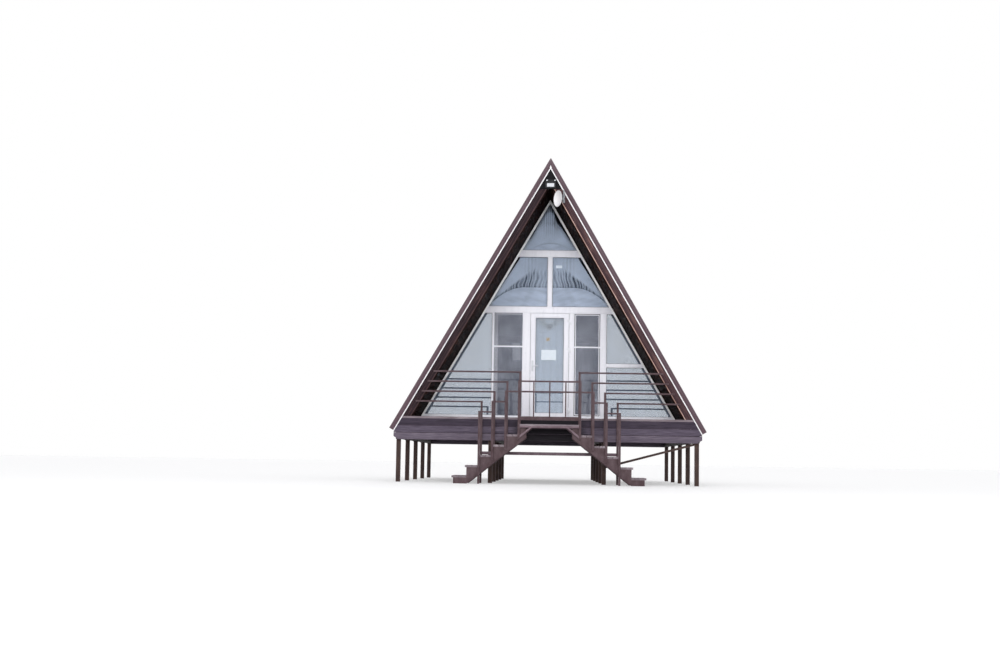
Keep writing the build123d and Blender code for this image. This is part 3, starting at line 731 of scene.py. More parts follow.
# Near-black soffit boards: a dark stain, painted darker still for the deep shade under the eaves.
SOFFIT_STAIN_AND_SHADE = StainedTimber(
    "dark_soffit_boards", "#22120f", "#0f0607", "#5e3a30", Grain.ALONG_Y, wear=0.75, tone=0.2, specular=0.05,
)
ROOF_DECKING = StainedTimber("sawn_roof_boards", "#6b5340", "#4a3829", "#8b7257", Grain.ALONG_Y)
CLADDING_STAIN = StainedTimber("dark_weatherboards", "#42343a", "#2a2026", "#6d5a55", wear=0.45)
APEX_STAIN = StainedTimber(
    "black_stained_apex_board", "#151418", "#0b0a0d", "#242228", Grain.ALONG_Z, specular=0.2,
)
ROOF_COAT = CoatedSheet("brown_coated_roof_sheet", "#4a3335", "#7d6a66", streaks=0.55)
TRIM_COAT = CoatedSheet("brown_coated_trim", "#4f3a43", "#77676f", streaks=0.5)
TRIM_EDGE = CoatedSheet("rubbed_trim_edge", "#6f5a62", "#948489", streaks=0.4)
STRIP_COAT = CoatedSheet("white_coated_verge_strip", "#f1f1f3", "#b9b4b4", streaks=0.5, roughness=0.38)
UPVC = WindowPlastic("white_upvc_profile")
# A whiter copy of the uPVC with less dirt: painted light on the sloping profiles in the soffit's shade, and
# on the left sash stile and rail behind the insect mesh.
BRIGHTENED_UPVC = WindowPlastic("brightened_white_upvc_profile", "#ffffff", "#e4e4ec", 0.2)
HANDLE_COAT = SmoothCoat("white_coated_handle", "#d6d8df", "#b9bbc4", 0.3, 0.35)
HINGE_COAT = SmoothCoat("white_coated_hinge", "#e8e9ef", "#c4c5cc", 0.3, 0.4)
GASKET = SmoothCoat("black_rubber_gasket", "#17181b", "#4c4c50", 0.4, 0.7)
SPACER = SatinMetal("aluminium_spacer", "#9fa2a6", Grain.ALONG_X, 0.45)
GLASS = FloatGlass("clear_float_glass", cast="#aebfdd", bend=1.45)
DOOR_GLASS = FloatGlass("door_float_glass", cast="#e4ebf5", bend=1.9)
SUN_GLASS = FloatGlass("sun_reflecting_glass", cast="#e4ebf5", bend=2.4)
INSECT_MESH = InsectMesh("grey_insect_mesh")
CURTAIN = WovenCloth("pale_blue_curtain", "#c6cddb", "#10141d")
LINER = WovenCloth("pale_blue_liner", "#cad0de", "#2c3344")
DOOR_CLOTH = WovenCloth("grey_door_curtain", "#a1adbf", "#1a2130")
SHADED_CLOTH = WovenCloth("blue_grey_curtain", "#7b8799", "#272e3e")
BLIND = WovenCloth("grey_window_blind", "#a9aeb8", "#6b707c")
PAPER = SmoothCoat("uncoated_paper", "#f6f8fb", "#dfe3ea", 0.3, 0.8, 0.002, 0.00005)
SCREW_METAL = SatinMetal("zinc_plated_steel", "#8d8a88", Grain.ALONG_Z, 0.45)
LAMP_COAT = SmoothCoat("black_powder_coat", "#16171a", "#3b3c40", 0.4, 0.45)
LAMP_LENS = SmoothCoat("frosted_lamp_lens", "#d3d5db", "#bcc0c8", 0.3, 0.35, 0.006, 0.0003)
DISH_COAT = SmoothCoat("white_sprayed_dish", "#eeecee", "#cdccd0", 0.35, 0.45)
# Grey copy of the dish coat for the bowl's back faces: painted shade.
DISH_SHADED_BACK = SmoothCoat("shaded_grey_dish_back", "#b2b4b9", "#8b8d93", 0.4, 0.5)
GALVANISED = SatinMetal("hot_dip_zinc", "#b4b7bc", Grain.ALONG_Z, 0.5)
DRIED_STRAW = SmoothCoat("dried_straw", "#b48c3a", "#7d6126", 0.6, 0.8, 0.004, 0.0008)


# ---------------------------------------------------------------------------------- form


@dataclass(frozen=True)
class Form:
    """Sizes and slope lines that the sub-assemblies share.

    Attributes:
        deck: Height of the floors.
        span: Width over the rafters' outer faces at that height.
        pitch: Slope of the roof.
        front: Y of the front gable.
        back: Y of the back gable.
        wall_face: Y of the window wall's outer face.
        wall_back: Y of its inner face.
        back_wall: Y of the back wall's outer face.
        foot_drop: How far the roof reaches below the floors.
        stair_centre: X of the landing's middle.
        pane_edge: Where the panes' sloping edges lie from the rafters' outer faces, negative inwards.
    """

    deck: float = 1.275
    span: float = 5.621
    pitch: float = math.radians(60.1)
    front: float = -3.275
    back: float = 4.225
    wall_face: float = -1.975
    wall_back: float = -1.905
    back_wall: float = 3.925
    foot_drop: float = 0.288
    stair_centre: float = 0.037
    pane_edge: float = -0.218

    @property
    def apex(self) -> float:
        """Height where the rafters' outer faces meet."""
        return self.deck + self.span / 2 * math.tan(self.pitch)

    @property
    def run(self) -> float:
        """Length of the roof boards down the slope, from the apex."""
        return (self.apex - self.deck + self.foot_drop) / math.sin(self.pitch)

    def peak(self, out: float) -> float:
        """Height where the two planes meet that lie a distance out outside the rafters."""
        return self.apex + out / math.cos(self.pitch)

    def half(self, z: float, out: float) -> float:
        """Half width, at height z, between those two planes."""
        return (self.peak(out) - z) / math.tan(self.pitch)

    def on_slope(self, run: float, out: float, side: int) -> tuple[float, float]:
        """Point in X and Z that is run down the slope and out outside the rafters."""
        return (
            side * (run * math.cos(self.pitch) + out * math.sin(self.pitch)),
            self.apex - run * math.sin(self.pitch) + out * math.cos(self.pitch),
        )

    def gable(self, out: float, low: float, high: float | None = None) -> Corners:
        """Outline under both slopes between two levels, or up to the peak."""
        foot = self.half(low, out)
        if high is None:
            return [(-foot, low), (foot, low), (0.0, self.peak(out))]
        head = self.half(high, out)
        return [(-foot, low), (foot, low), (head, high), (-head, high)]

    def leg(self, inner: float, outer: float, foot: float, side: int, joint: float = 0.001) -> Corners:
        """Outline of a band under one slope, plumb at the ridge and level at its foot."""
        drop = joint * math.tan(self.pitch)
        return [
            (side * joint, self.peak(inner) - drop), (side * joint, self.peak(outer) - drop),
            (side * self.half(foot, outer), foot), (side * self.half(foot, inner), foot),
        ]


FORM = Form()


# ---------------------------------------------------------------------------------- sub-assemblies


@dataclass
class Substructure:
    """Steel piers, bearers and joists, and the fascia boards in front of them."""

    fascia_thickness: float = 0.03
    board_joint: float = 0.004
    board_count: int = 3

    def build(self) -> None:
        """Builds all pieces under the floor."""
        for name, width in (("piers", 0.006), ("pier_caps", 0.002), ("pier_brace", 0.004)):
            dress(name, "painted_" + name, (PIER_PAINT, RAIL_EDGE), width)
        for name in ("floor_bearers", "floor_joists"):
            dress(name, "sawn_" + name, (FRAME_TIMBER,), 0.004)
        self.fascias()

    def fascias(self) -> None:
        """Builds each fascia from boards that lie edge to edge, with the corner cut off the lowest."""
        low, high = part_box("fascias")
        shape = self.outline()
        height = (high.z - low.z) / self.board_count
        boards = []
        for near, far in (
            (FORM.front - self.fascia_thickness, FORM.front), (FORM.back, FORM.back + self.fascia_thickness),
        ):
            for index in range(self.board_count):
                bottom = low.z + index * height
                top = bottom + height - (self.board_joint if index < self.board_count - 1 else 0.0)
                board = plate(cut_between(shape, bottom, top), near, far)
                # Higher boards take darker finishes: painted shade under the deck's nosing.
                coat(board, (FASCIA_LOW, FASCIA_MIDDLE, FASCIA_TOP)[index], FASCIA_EDGE)
                boards.append(ease(board, 0.004, 2, worn=True))
        fit(join(boards), "fascia_boards", (), ("fascias",))

    @staticmethod
    def outline() -> Corners:
        """Outline of a fascia in X and Z, read off the CAD node's own corners."""
        points = {(round(v.co.x, 5), round(v.co.z, 5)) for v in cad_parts["fascias"].data.vertices}
        right = sorted((p for p in points if p[0] > 0), key=lambda p: p[1])
        return [*right, *[(-x, z) for x, z in reversed(right)]]


def cut_between(outline: Outline, low: float, high: float) -> Corners:
    """Part of a convex outline between two levels."""
    kept = list(outline)
    for level, sign in ((low, 1), (high, -1)):
        result = []
        for (x0, z0), (x1, z1) in zip(kept, kept[1:] + kept[:1]):
            inside, next_inside = sign * (z0 - level) >= 0, sign * (z1 - level) >= 0
            if inside:
                result.append((x0, z0))
            if inside != next_inside:
                share = (level - z0) / (z1 - z0)
                result.append((x0 + share * (x1 - x0), level))
        kept = result
    return [p for i, p in enumerate(kept) if math.dist(p, kept[i - 1]) > NO_LENGTH]


@dataclass
class Decks:
    """Veranda decking and the floors inside."""

    board_width: float = 0.118
    board_gap: float = 0.005
    nosing_out: float = -0.001
    floor_out: float = -0.151

    def build(self) -> None:
        """Builds the decking of the veranda and dresses the floors of the room and the loft."""
        low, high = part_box("veranda_deck")
        front_board = plate(FORM.gable(self.nosing_out, low.z, high.z), low.y, FORM.front)
        count = int((high.y - FORM.front) / (self.board_width + self.board_gap))
        step = (high.y - FORM.front) / count
        near = FORM.front + self.board_gap
        first = plate(FORM.gable(self.floor_out, low.z, high.z), near, near + step - self.board_gap)
        boards = join([front_board, repeat(first, count, (0, step, 0))])
        ease(boards, 0.004)
        fit(boards, "veranda_boards", (DECK_STAIN,), ("veranda_deck",))
        dress("cabin_floor", "room_floor", (ROOM_FLOOR,), 0.003)
        dress("loft_floor", "loft_boards", (ROOM_FLOOR,), 0.003)


@dataclass
class Roof:
    """Rafters, boards, soffit lining and the ribbed sheet with its ridge cap."""

    lining_board: float = 0.096
    lining_gap: float = 0.005
    lining_outer: float = -0.15
    lining_inner: float = -0.162
    cover_outer: float = 0.062
    rib_count: int = 24
    edge: float = 0.03
    rib_foot: float = 0.09
    screw_rows: int = 8
    first_row: float = 0.32
    rows_short: float = 0.42
    # Radius and height of a screw's head, and of its washer.
    head: tuple[float, float] = (0.008, 0.006)
    washer: tuple[float, float] = (0.012, 0.002)

    def build(self) -> None:
        """Builds the roof from the rafters outwards."""
        dress("rafters", "sawn_rafters", (SLOPE_TIMBER,), 0.003)
        dress("roof_boards", "sawn_roof_boards", (ROOF_DECKING,), 0.003)
        self.lining()
        dress("roof_cover", "roof_sheets", (ROOF_COAT,), 0.002)
        dress("roof_ribs", "roof_sheet_ribs", (ROOF_COAT,), 0.004)
        dress("ridge_cap", "folded_ridge_cap", (ROOF_COAT, TRIM_EDGE), 0.002)
        self.screws()

    def lining(self) -> None:
        """Lays the soffit boards along the cabin, row by row down each slope."""
        low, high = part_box("roof_lining")
        slope = FORM.pitch
        first_run = 0.5 * (self.lining_outer - self.lining_inner) - self.lining_inner * math.tan(slope)
        last_run = (FORM.apex + self.lining_inner * math.cos(slope) - FORM.deck) / math.sin(slope)
        pitch = self.lining_board + self.lining_gap
        count = int((last_run - first_run) / pitch)
        start = last_run - count * pitch
        sides = []
        for side, _ in SIDES:
            outline = [
                FORM.on_slope(start + run, out, side)
                for run, out in rectangle(0, self.lining_board, self.lining_inner, self.lining_outer)
            ]
            board = ease(plate(outline, low.y, high.y), 0.003, 1)
            step = (side * pitch * math.cos(slope), 0, -pitch * math.sin(slope))
            sides.append(repeat(board, count, step))
        # The boards' near-black finish is partly painted shade.
        fit(join(sides), "soffit_boards", (SOFFIT_STAIN_AND_SHADE,), ("roof_lining",))

    def screws(self) -> None:
        """Sets rows of hexagon-headed screws with washers in the valleys between the ribs."""
        length = FORM.back - FORM.front
        pitch = (length - 2 * self.edge - self.rib_foot) / (self.rib_count - 1)
        first_y = FORM.front + self.edge + self.rib_foot / 2 + pitch / 2
        sides = []
        for side, _ in SIDES:
            height, thickness = self.head[1], self.washer[1]
            screw = join([
                cylinder(*self.head, (0, 0, thickness / 2 + height / 2), 6),
                cylinder(*self.washer, (0, 0, thickness / 2), 12),
            ])
            x, z = FORM.on_slope(self.first_row, self.cover_outer, side)
            tilt = Matrix.Rotation(side * FORM.pitch, 4, "Y")
            turn(screw, Matrix.Translation((x, first_y, z)) @ tilt)
            repeat(screw, self.rib_count - 1, (0, pitch, 0))
            fall = (FORM.run - self.rows_short) / (self.screw_rows - 1)
            step = (side * fall * math.cos(FORM.pitch), 0, -fall * math.sin(FORM.pitch))
            sides.append(repeat(screw, self.screw_rows, step))
        fit(join(sides), "roof_screws", (SCREW_METAL,))


@dataclass
class Verges:
    """White strips, brown trims and barge boards along both gables."""

    barge_depth: float = 0.135
    barge_thickness: float = 0.025
    lap: float = 0.07
    inner_back: float = 0.006
    bead: float = 0.014
    bead_back: float = 0.002
    strip: float = 0.02
    # Heights of the folded peak's lowest and highest corner from the strips' tip, and Y of its faces.
    fold: tuple[float, float] = (-0.05, 0.034)
    fold_out: tuple[float, float] = (-0.0285, -0.0205)

    def build(self) -> None:
        """Builds the verges of both gables."""
        dress("verge_strips", "white_verge_strips", (STRIP_COAT,), 0.002)
        dress("verge_trims", "brown_verge_trims", (TRIM_COAT, TRIM_EDGE), 0.003)
        dress("verge_flanges", "verge_trim_flanges", (TRIM_COAT, TRIM_EDGE), 0.002)
        self.barge_boards()
        self.apex_boards()

    def barge_boards(self) -> None:
        """Builds each barge board from a wide outer board, a set-back inner one and an edge bead."""
        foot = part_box("barge_boards")[0].z
        depth, bead = -self.barge_depth, -self.barge_depth + self.bead
        # The right side's boards are drawn lighter, and its bead pale as a painted highlight; the left bead
        # has the worn edge finish.
        for (side, word), stain, bead_tone in zip(SIDES, (BARGE_DARK, BARGE_LIGHTER_RIGHT), (BARGE_EDGE, BARGE_BEAD_HIGHLIGHT)):
            boards, beads = [], []
            for face, inward in ((FORM.front, 1), (FORM.back, -1)):
                back = face + inward * self.barge_thickness
                for inner, outer, set_back, made in (
                    (-self.lap, -0.001, 0.0, boards), (bead, -self.lap - 0.002, self.inner_back, boards),
                    (depth, bead - 0.001, self.bead_back, beads),
                ):
                    made.append(plate(FORM.leg(inner, outer, foot, side), face + inward * set_back, back))
            name = f"{word}_barge_boards"
            piece = ease(coat(join(boards), stain, BARGE_EDGE), 0.003, 2, worn=True)
            fit(piece, name, (), ("barge_boards",) if side < 0 else ())
            fit(ease(join(beads), 0.003), name + "_bead", (bead_tone,))

    def apex_boards(self) -> None:
        """Builds the board over the joint of the barge boards, and the strips' folded white peak."""
        low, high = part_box("apex_board")
        board = plate(FORM.gable(-0.001, low.z), low.y, high.y)
        fit(ease(board, 0.003), "apex_cover_board", (APEX_STAIN,), ("apex_board",))
        tip, strip, (drop, rise) = FORM.peak(self.strip), self.strip, self.fold
        fold = plate(
            [(0.0, tip + drop), (strip, tip - strip), (0.0, tip + rise), (-strip, tip - strip)],
            *(FORM.front + out for out in self.fold_out),
        )
        fit(ease(fold, 0.001), "folded_strip_peak", (STRIP_COAT,))


@dataclass
class WindowWall:
    """White frames of the glazed gable with beads, gaskets, double glazing and glazing bars."""

    # Low and high edge of each transom, then left and right edge of each upright.
    sill: float = 1.35
    lower: tuple[float, float] = (3.448, 3.569)
    upper: tuple[float, float] = (4.607, 4.728)
    side: tuple[float, float] = (2.362, 2.418)
    left_mullion: tuple[float, float] = (-1.141, -1.038)
    left_jamb: tuple[float, float] = (-0.531, -0.373)
    right_jamb: tuple[float, float] = (0.415, 0.513)
    right_mullion: tuple[float, float] = (1.056, 1.166)
    centre: tuple[float, float] = (-0.026, 0.054)
    recess: float = 0.016
    bar_height: float = 0.03
    bar_level: float = 2.757
    bar_depth: float = 0.012
    fixed_strip: float = 0.03
    sash_depth: float = 0.045
    sash_back: float = 0.006
    # Width, depth and inset of the slim sash, and of the black rubber ring that fills the gap round it and
    # also stands in as that gap's painted shade.
    slim_sash: tuple[float, float, float] = (0.016, 0.0125, 0.024)
    shaded_seal: tuple[float, float, float] = (0.012, 0.002, 0.0118)
    net: float = 0.0004
    net_edge: float = 0.03

    def panes(self) -> dict[str, Corners]:
        """Outlines of the panes in X and Z, by name."""
        def beside(side: int, inner: float, low: float, high: float) -> Corners:
            """Pane from an upright edge to the slope of its side."""
            foot, head = (side * FORM.half(z, FORM.pane_edge) for z in (low, high))
            if side < 0:
                return [(foot, low), (inner, low), (inner, high), (head, high)]
            return [(inner, low), (foot, low), (head, high), (inner, high)]

        return {
            "top": FORM.gable(FORM.pane_edge, self.upper[1]),
            "upper_left": beside(-1, self.centre[0], self.lower[1], self.upper[0]),
            "upper_right": beside(1, self.centre[1], self.lower[1], self.upper[0]),
            "side_left": rectangle(self.left_mullion[1], self.left_jamb[0], self.sill, self.lower[0]),
            "side_right": rectangle(self.right_jamb[1], self.right_mullion[0], self.sill, self.lower[0]),
            "outer_left": beside(-1, self.left_mullion[0], self.sill, self.lower[0]),
            "outer_right_low": beside(1, self.right_mullion[1], self.sill, self.side[0]),
            "outer_right_high": beside(1, self.right_mullion[1], self.side[1], self.lower[0]),
        }

    def build(self) -> None:
        """Builds the frames and glazes every pane."""
        # The sloping frames take the brightened copy of the uPVC: painted light in the soffit's shade.
        for name, finish in (("sloping_frames", BRIGHTENED_UPVC), ("window_sill", UPVC), ("wall_transoms", UPVC)):
            dress(name, "white_" + name, (finish,), 0.004)
        self.uprights()
        high, low = [], []
        for name, outline in self.panes().items():
            (high if name.startswith(("top", "upper")) else low).append(outline)
        glaze("upper_window", high, self.recess, GLASS, ("window_glass",))
        glaze("lower_window", low, self.recess, SUN_GLASS)
        self.sashes()
        self.bars()
        self.screens()

    def uprights(self) -> None:
        """Builds mullions, jambs and the centre post; the left mullion ends in a set-back sash stile."""
        face, back, split = FORM.wall_face, FORM.wall_back, self.left_mullion[0] + self.fixed_strip
        posts = [
            block((x0, face, bottom), (x1, back, top))
            for (x0, x1), bottom, top in (
                ((self.left_mullion[0], split), self.sill, self.lower[0]),
                (self.right_mullion, self.sill, self.lower[0]),
                (self.left_jamb, FORM.deck, self.lower[0]),
                (self.right_jamb, FORM.deck, self.lower[0]),
                (self.centre, self.lower[1], self.upper[0]),
            )
        ]
        fit(ease(join(posts), 0.004), "white_wall_mullions", (UPVC,), ("wall_mullions",))
        # Drawn in the brightened uPVC: painted light behind the insect mesh.
        stile = block(
            (split + 0.0005, face + self.sash_back, self.sill), (self.left_mullion[1], back, self.lower[0]),
        )
        fit(ease(stile, 0.004), "left_sash_stile", (BRIGHTENED_UPVC,))

    def sashes(self) -> None:
        """Builds the sash rail over the left pane and the slim sash inside the right one."""
        front = FORM.wall_face + self.recess
        rail = block(
            (self.left_mullion[1], front - 0.01, self.lower[0] - self.sash_depth),
            (self.left_jamb[0], front - 0.0003, self.lower[0] - 0.0005),
        )
        # Drawn in the brightened uPVC: painted light behind the insect mesh.
        fit(ease(rail, 0.003), "left_sash_rail", (BRIGHTENED_UPVC,))
        outline = self.panes()["side_right"]
        slim, shaded_seal = (
            ring(outline, width, front - depth, front - 0.0003, inset)
            for width, depth, inset in (self.slim_sash, self.shaded_seal)
        )
        fit(ease(slim, 0.003), "right_slim_sash", (UPVC,))
        # Black rubber in the gap round the sash, which also stands in as the gap's painted shade.
        fit(shaded_seal, "right_sash_shaded_seal", (GASKET,))

    def bars(self) -> None:
        """Builds the bars of the insect screens beside the door, and the glazing bars behind them."""
        face, glass_back = FORM.wall_face, FORM.wall_face + self.recess + GLASS_UNIT
        low, high = self.bar_level - self.bar_height / 2, self.bar_level + self.bar_height / 2
        left = (self.left_mullion[0] + self.fixed_strip, self.left_jamb[0])
        right = (self.right_jamb[1], self.right_mullion[0])
        bars = [
            block((left[0] + 0.001, face - 0.004, low), (left[1] + 0.003, face + 0.0056, high)),
            block((right[0], face + 0.004, low), (right[1], face + self.recess - PLAY, high)),
        ]
        for x0, x1 in ((self.left_mullion[1], left[1]), right):
            bars.append(block((x0, glass_back + PLAY, low), (x1, glass_back + self.bar_depth, high)))
        fit(ease(join(bars), 0.0025), "glazing_bars", (UPVC,))

    def screens(self) -> None:
        """Stretches insect mesh over the two windows beside the door, above and below their bars."""
        face, edge, reach = FORM.wall_face, self.net_edge, self.bar_height / 2 - 0.002
        nets = []
        for x0, x1, y, inset in (
            (self.left_mullion[0] + self.fixed_strip + 0.001, self.left_jamb[0] - 0.001, face + 0.004, 0.001),
            (self.right_jamb[1] + edge, self.right_mullion[0] - edge, face + 0.0085, edge),
        ):
            for z0, z1 in (
                (self.sill + inset, self.bar_level - reach), (self.bar_level + reach, self.lower[0] - inset),
            ):
                nets.append(plate(rectangle(x0, x1, z0, z1), y, y + self.net))
        fit(join(nets), "insect_screens", (INSECT_MESH,))


# Double glazing: one sheet and the whole unit; its spacer, gaskets and beads, which lie inside the
# pane's outline; and the play that parts neighbours.
GLASS_SHEET = 0.004
GLASS_UNIT = 0.024
SPACER_WIDTH = 0.012
SPACER_INSET = 0.001
OUTER_GASKET = 0.006
INNER_GASKET = 0.004
GASKET_DEPTH = 0.003
BEAD = 0.011
BEAD_INSET = 0.0005
BEAD_ROUND = 0.005
PLAY = 0.0002


def glaze(
    name: str, outlines: Sequence[Outline], recess: float, glass: Finish, replaces: Sequence[str] = (),
    body: str = "cabin",
) -> None:
    """Glazes panes of the window wall with two sheets, a spacer between them, gaskets and beads.

    Args:
        name: First word of the pieces' names.
        outlines: The panes' outlines in X and Z.
        recess: How far the glass lies behind the frame's outer face.
        glass: The kind of glass.
        replaces: CAD nodes that the glass stands for.
        body: Body that the panes move with.
    """
    front = FORM.wall_face + recess
    back = front + GLASS_UNIT
    sheets, spacers, beads, gaskets = [], [], [], []
    for outline in outlines:
        sheets.append(plate(outline, front, front + GLASS_SHEET))
        sheets.append(plate(outline, back - GLASS_SHEET, back))
        spacers.append(ring(outline, SPACER_WIDTH, front + GLASS_SHEET, back - GLASS_SHEET, SPACER_INSET))
        gaskets.append(ring(outline, OUTER_GASKET, front - GASKET_DEPTH, front - PLAY, BEAD))
        gaskets.append(ring(outline, INNER_GASKET, back + PLAY, back + GASKET_DEPTH, BEAD))
        for near, far in ((front - BEAD, front - PLAY), (back + PLAY, back + BEAD)):
            beads.append(ring(outline, BEAD, near, far, BEAD_INSET))
    fit(join(sheets), f"{name}_glass_sheets", (glass,), replaces, body)
    fit(join(spacers), f"{name}_spacers", (SPACER,), body=body)
    fit(ease(join(beads), BEAD_ROUND, 3), f"{name}_glazing_beads", (UPVC,), body=body)
    fit(join(gaskets), f"{name}_gaskets", (GASKET,), body=body)


def ramp(value: float, low: float, high: float) -> float:
    """Share, from 0 to 1, of the way that a value lies between two limits."""
    return min(1.0, max(0.0, (value - low) / (high - low)))


def bell(value: float, middle: float, width: float) -> float:
    """Smooth hump that is one at its middle and a third of that one width away."""
    return math.exp(-((value - middle) / width) ** 2)


@dataclass
class Drape:
    """One hanging sheet of curtain, with its own edges and folds.

    Attributes:
        name: Name of the piece.
        left: X of its left edge at a height.
        right: X of its right edge at a height.
        top: Height of its top edge.
        hem: Height of its hem at an X.
        fold: Depth of the folds and their painted shade, both from 0 to 1, at an X and a height.
        near: Y of the face that looks out.
        depth: Depth of the folds.
        across: Cells across.
        down: Cells down.
        finish: The cloth.
        cloth: Its thickness.
    """

    name: str
    left: Edge
    right: Edge
    top: float
    hem: Edge
    fold: Fold
    near: float
    depth: float
    across: int = 120
    down: int = 60
    finish: Finish = field(default_factory=lambda: CURTAIN)
    cloth: float = 0.0008

    def place(self, u: float, v: float) -> tuple[float, float]:
        """X and Z of the point at a share of the width and of the drop."""
        x, z = 0.0, self.top
        for _ in range(4):
            x = self.left(z) + u * (self.right(z) - self.left(z))
            z = self.top + v * (self.hem(x) - self.top)
        return x, z

    def build(self, rests_on: Sequence[str], body: str = "cabin", replaces: Sequence[str] = ()) -> Mesh:
        deselect()
        bpy.ops.mesh.primitive_grid_add(x_subdivisions=self.across, y_subdivisions=self.down, size=2)
        piece = bpy.context.object
        shades = []
        for vertex in piece.data.vertices:
            x, z = self.place((vertex.co.x + 1) / 2, (1 - vertex.co.y) / 2)
            push, shade = self.fold(x, z)
            vertex.co = (x, self.near + min(1.0, max(0.0, push)) * self.depth, z)
            shades.append(min(1.0, max(0.0, shade)))
        # The fold value carries painted shade into the cloth's colour.
        layer = piece.data.attributes.new("fold", "FLOAT", "POINT")
        layer.data.foreach_set("value", shades)
        modify(piece, "SOLIDIFY", thickness=self.cloth, offset=0.0)
        bpy.ops.object.shade_smooth()
        fit(piece, self.name, (self.finish,), replaces, body)
        return piece


@dataclass
class Curtains:
    """Curtains behind the panes of the gable."""

    near: float = FORM.wall_back + 0.0015
    depth: float = 0.026
    pleat: float = 0.064
    top_pleat: float = 0.043
    top_middle: float = 0.02
    top_arch: float = 4.88
    top_bow: float = 0.8
    slope_lap: float = 0.008
    lap: float = 0.002
    hem_level: float = 3.98
    hem_fall: float = 0.35
    gather_level: float = 4.36
    gather_slope: float = 0.76
    gather_half: float = 0.32
    wall: WindowWall = field(default_factory=WindowWall)

    def build(self) -> None:
        """Hangs every curtain of the window wall."""
        hung = [self.top_pane()]
        for pane in (self.upper_pane, self.outer_pane):
            hung += [pane(side, word) for side, word in SIDES]
        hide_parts("window_curtains")
        self.liners()

    def slope_edge(self, z: float, inset: float = 0.0) -> float:
        """Half width that a curtain reaches at a height, just over the sloping frames."""
        return max(0.004, FORM.half(z, FORM.pane_edge + self.slope_lap) - inset)

    def drawn_edge(self, z: float, side: int) -> float:
        """Half width at a height of the upper curtains, which hang away from the frames at their top."""
        gap = 0.06 if side < 0 else 0.078
        return self.slope_edge(z, gap * ramp(z, self.wall.lower[1] + 0.1, self.wall.upper[0] - 0.1))

    def centre_edge(self, side: int) -> float:
        """X that the upper curtains of a side reach behind the centre post."""
        return self.wall.centre[0] - self.lap if side < 0 else self.wall.centre[1] + self.lap

    @staticmethod
    def edges(side: int, outer: Edge, inner: float) -> tuple[Edge, Edge]:
        """Left and right edge of a curtain whose outer edge runs along the slope of its side."""
        pair = (lambda z: side * outer(z), lambda z: inner)
        return pair if side < 0 else pair[::-1]

    def top_pane(self) -> Mesh:
        """Curtain of the top pane: gathered under the peak, with an arched hem."""
        high = FORM.peak(FORM.pane_edge) - 0.075

        def hem(x: float) -> float:
            """Raised in the middle, and down on the transom at both sides."""
            return max(self.wall.upper[1] - 0.02, self.top_arch - self.top_bow * (x - self.top_middle) ** 2)

        def fold(x: float, z: float) -> tuple[float, float]:
            """Pleats that run down from the peak and fade out, with painted shade in them, painted shade
            along the slopes, and a painted shadow line along the hem.
            """
            strength = ramp(z, 4.98, 5.35)
            wave = 0.5 + 0.5 * math.sin(x * math.tau / self.top_pleat + 1.1 * math.sin(x * 31))
            edge = self.slope_edge(z) - abs(x)
            # Painted shade in the gap along the sloping frames, darker on the right.
            side = bell(edge, 0.0, 0.08) * (0.9 if x > 0 else 0.5) * ramp(z, 4.72, 5.0)
            # Painted shadow just above the hem.
            line = bell(z - hem(x), 0.012, 0.016) * bell(x, self.top_middle, 0.3)
            # Painted shade in the pleats under the peak.
            shade = 0.1 + 0.5 * strength * wave ** 2 * bell(x, 0.0, 0.2) + side + 0.3 * line
            return 0.3 + 0.2 * (wave - 0.5) * strength, shade

        return Drape(
            "top_curtain", lambda z: -self.slope_edge(z, 0.015 + 0.025 * bell(z, 5.12, 0.25)),
            lambda z: self.slope_edge(z, 0.02 + 0.08 * bell(z, 5.31, 0.19)),
            high, hem, fold, self.near, self.depth, across=140, down=80,
        ).build(("white_sloping_frames", "white_wall_transoms"))

    def swept_hem(self, x: float) -> float:
        """Height of the upper curtains' hem: level in the middle, falling to the outer corners."""
        return self.hem_level - self.hem_fall * ramp(abs(x), 0.5, 1.2) ** 2

    def gather_line(self, x: float) -> float:
        """Height from which the upper curtains are gathered: level in the middle, then falling."""
        return self.gather_level - self.gather_slope * max(0.0, abs(x) - self.gather_half)

    def upper_pane(self, side: int, word: str) -> Mesh:
        """Curtain of an upper pane: drawn up in a band of close pleats over a swept hem."""
        def fold(x: float, z: float) -> tuple[float, float]:
            """Close pleats from the line where the cloth is gathered down to the hem, smooth above it; the
            pleats' shade, darker patches above, outer arcs and hem line are painted shade.
            """
            away = abs(x)
            hem, gathered = self.swept_hem(x), self.gather_line(x)
            into = (gathered - z) / (gathered - hem)
            band = ramp(into, -0.1, 0.22)
            place = bell(away, 0.56, 0.27)
            across = away + 0.16 * (z - hem)
            sway = 1.8 * math.sin(across * 17 + side)
            wave = math.sin(across * math.tau / self.pleat + sway + math.sin(23 * z))
            # Painted shade in the valleys of the pleats.
            pleat_shade = (0.5 + 0.5 * wave) * (0.7 + 0.3 * math.sin(across * 53 + 9 * z))
            upright = 0.5 + 0.5 * math.sin(away * math.tau / 0.07 + 0.9)
            above = 1 - band
            # Painted shade above the pleats: darker near the centre post, and in soft upright folds.
            upper_shade = 0.26 * bell(away, 0.0, 0.3) * ramp(z, 4.15, 4.5)
            upper_shade += 0.2 * bell(away, 0.4, 0.12) * upright * ramp(z, 4.1, 4.3)
            # Painted shade in arcs at the outer corners.
            outer_shade = ramp(away, 0.75, 1.15) * bell(into, 0.75, 0.4)
            shade = 0.06 + band * (0.08 + 0.22 * place + 1.05 * (0.4 + 0.6 * place) * pleat_shade) + above * upper_shade
            # Painted shade of the outer arcs and along the hem.
            shade += 0.45 * outer_shade + 0.25 * bell(z, hem, 0.02)
            return 0.26 + 0.22 * wave * band + 0.05 * math.sin(away * 14) * above, shade

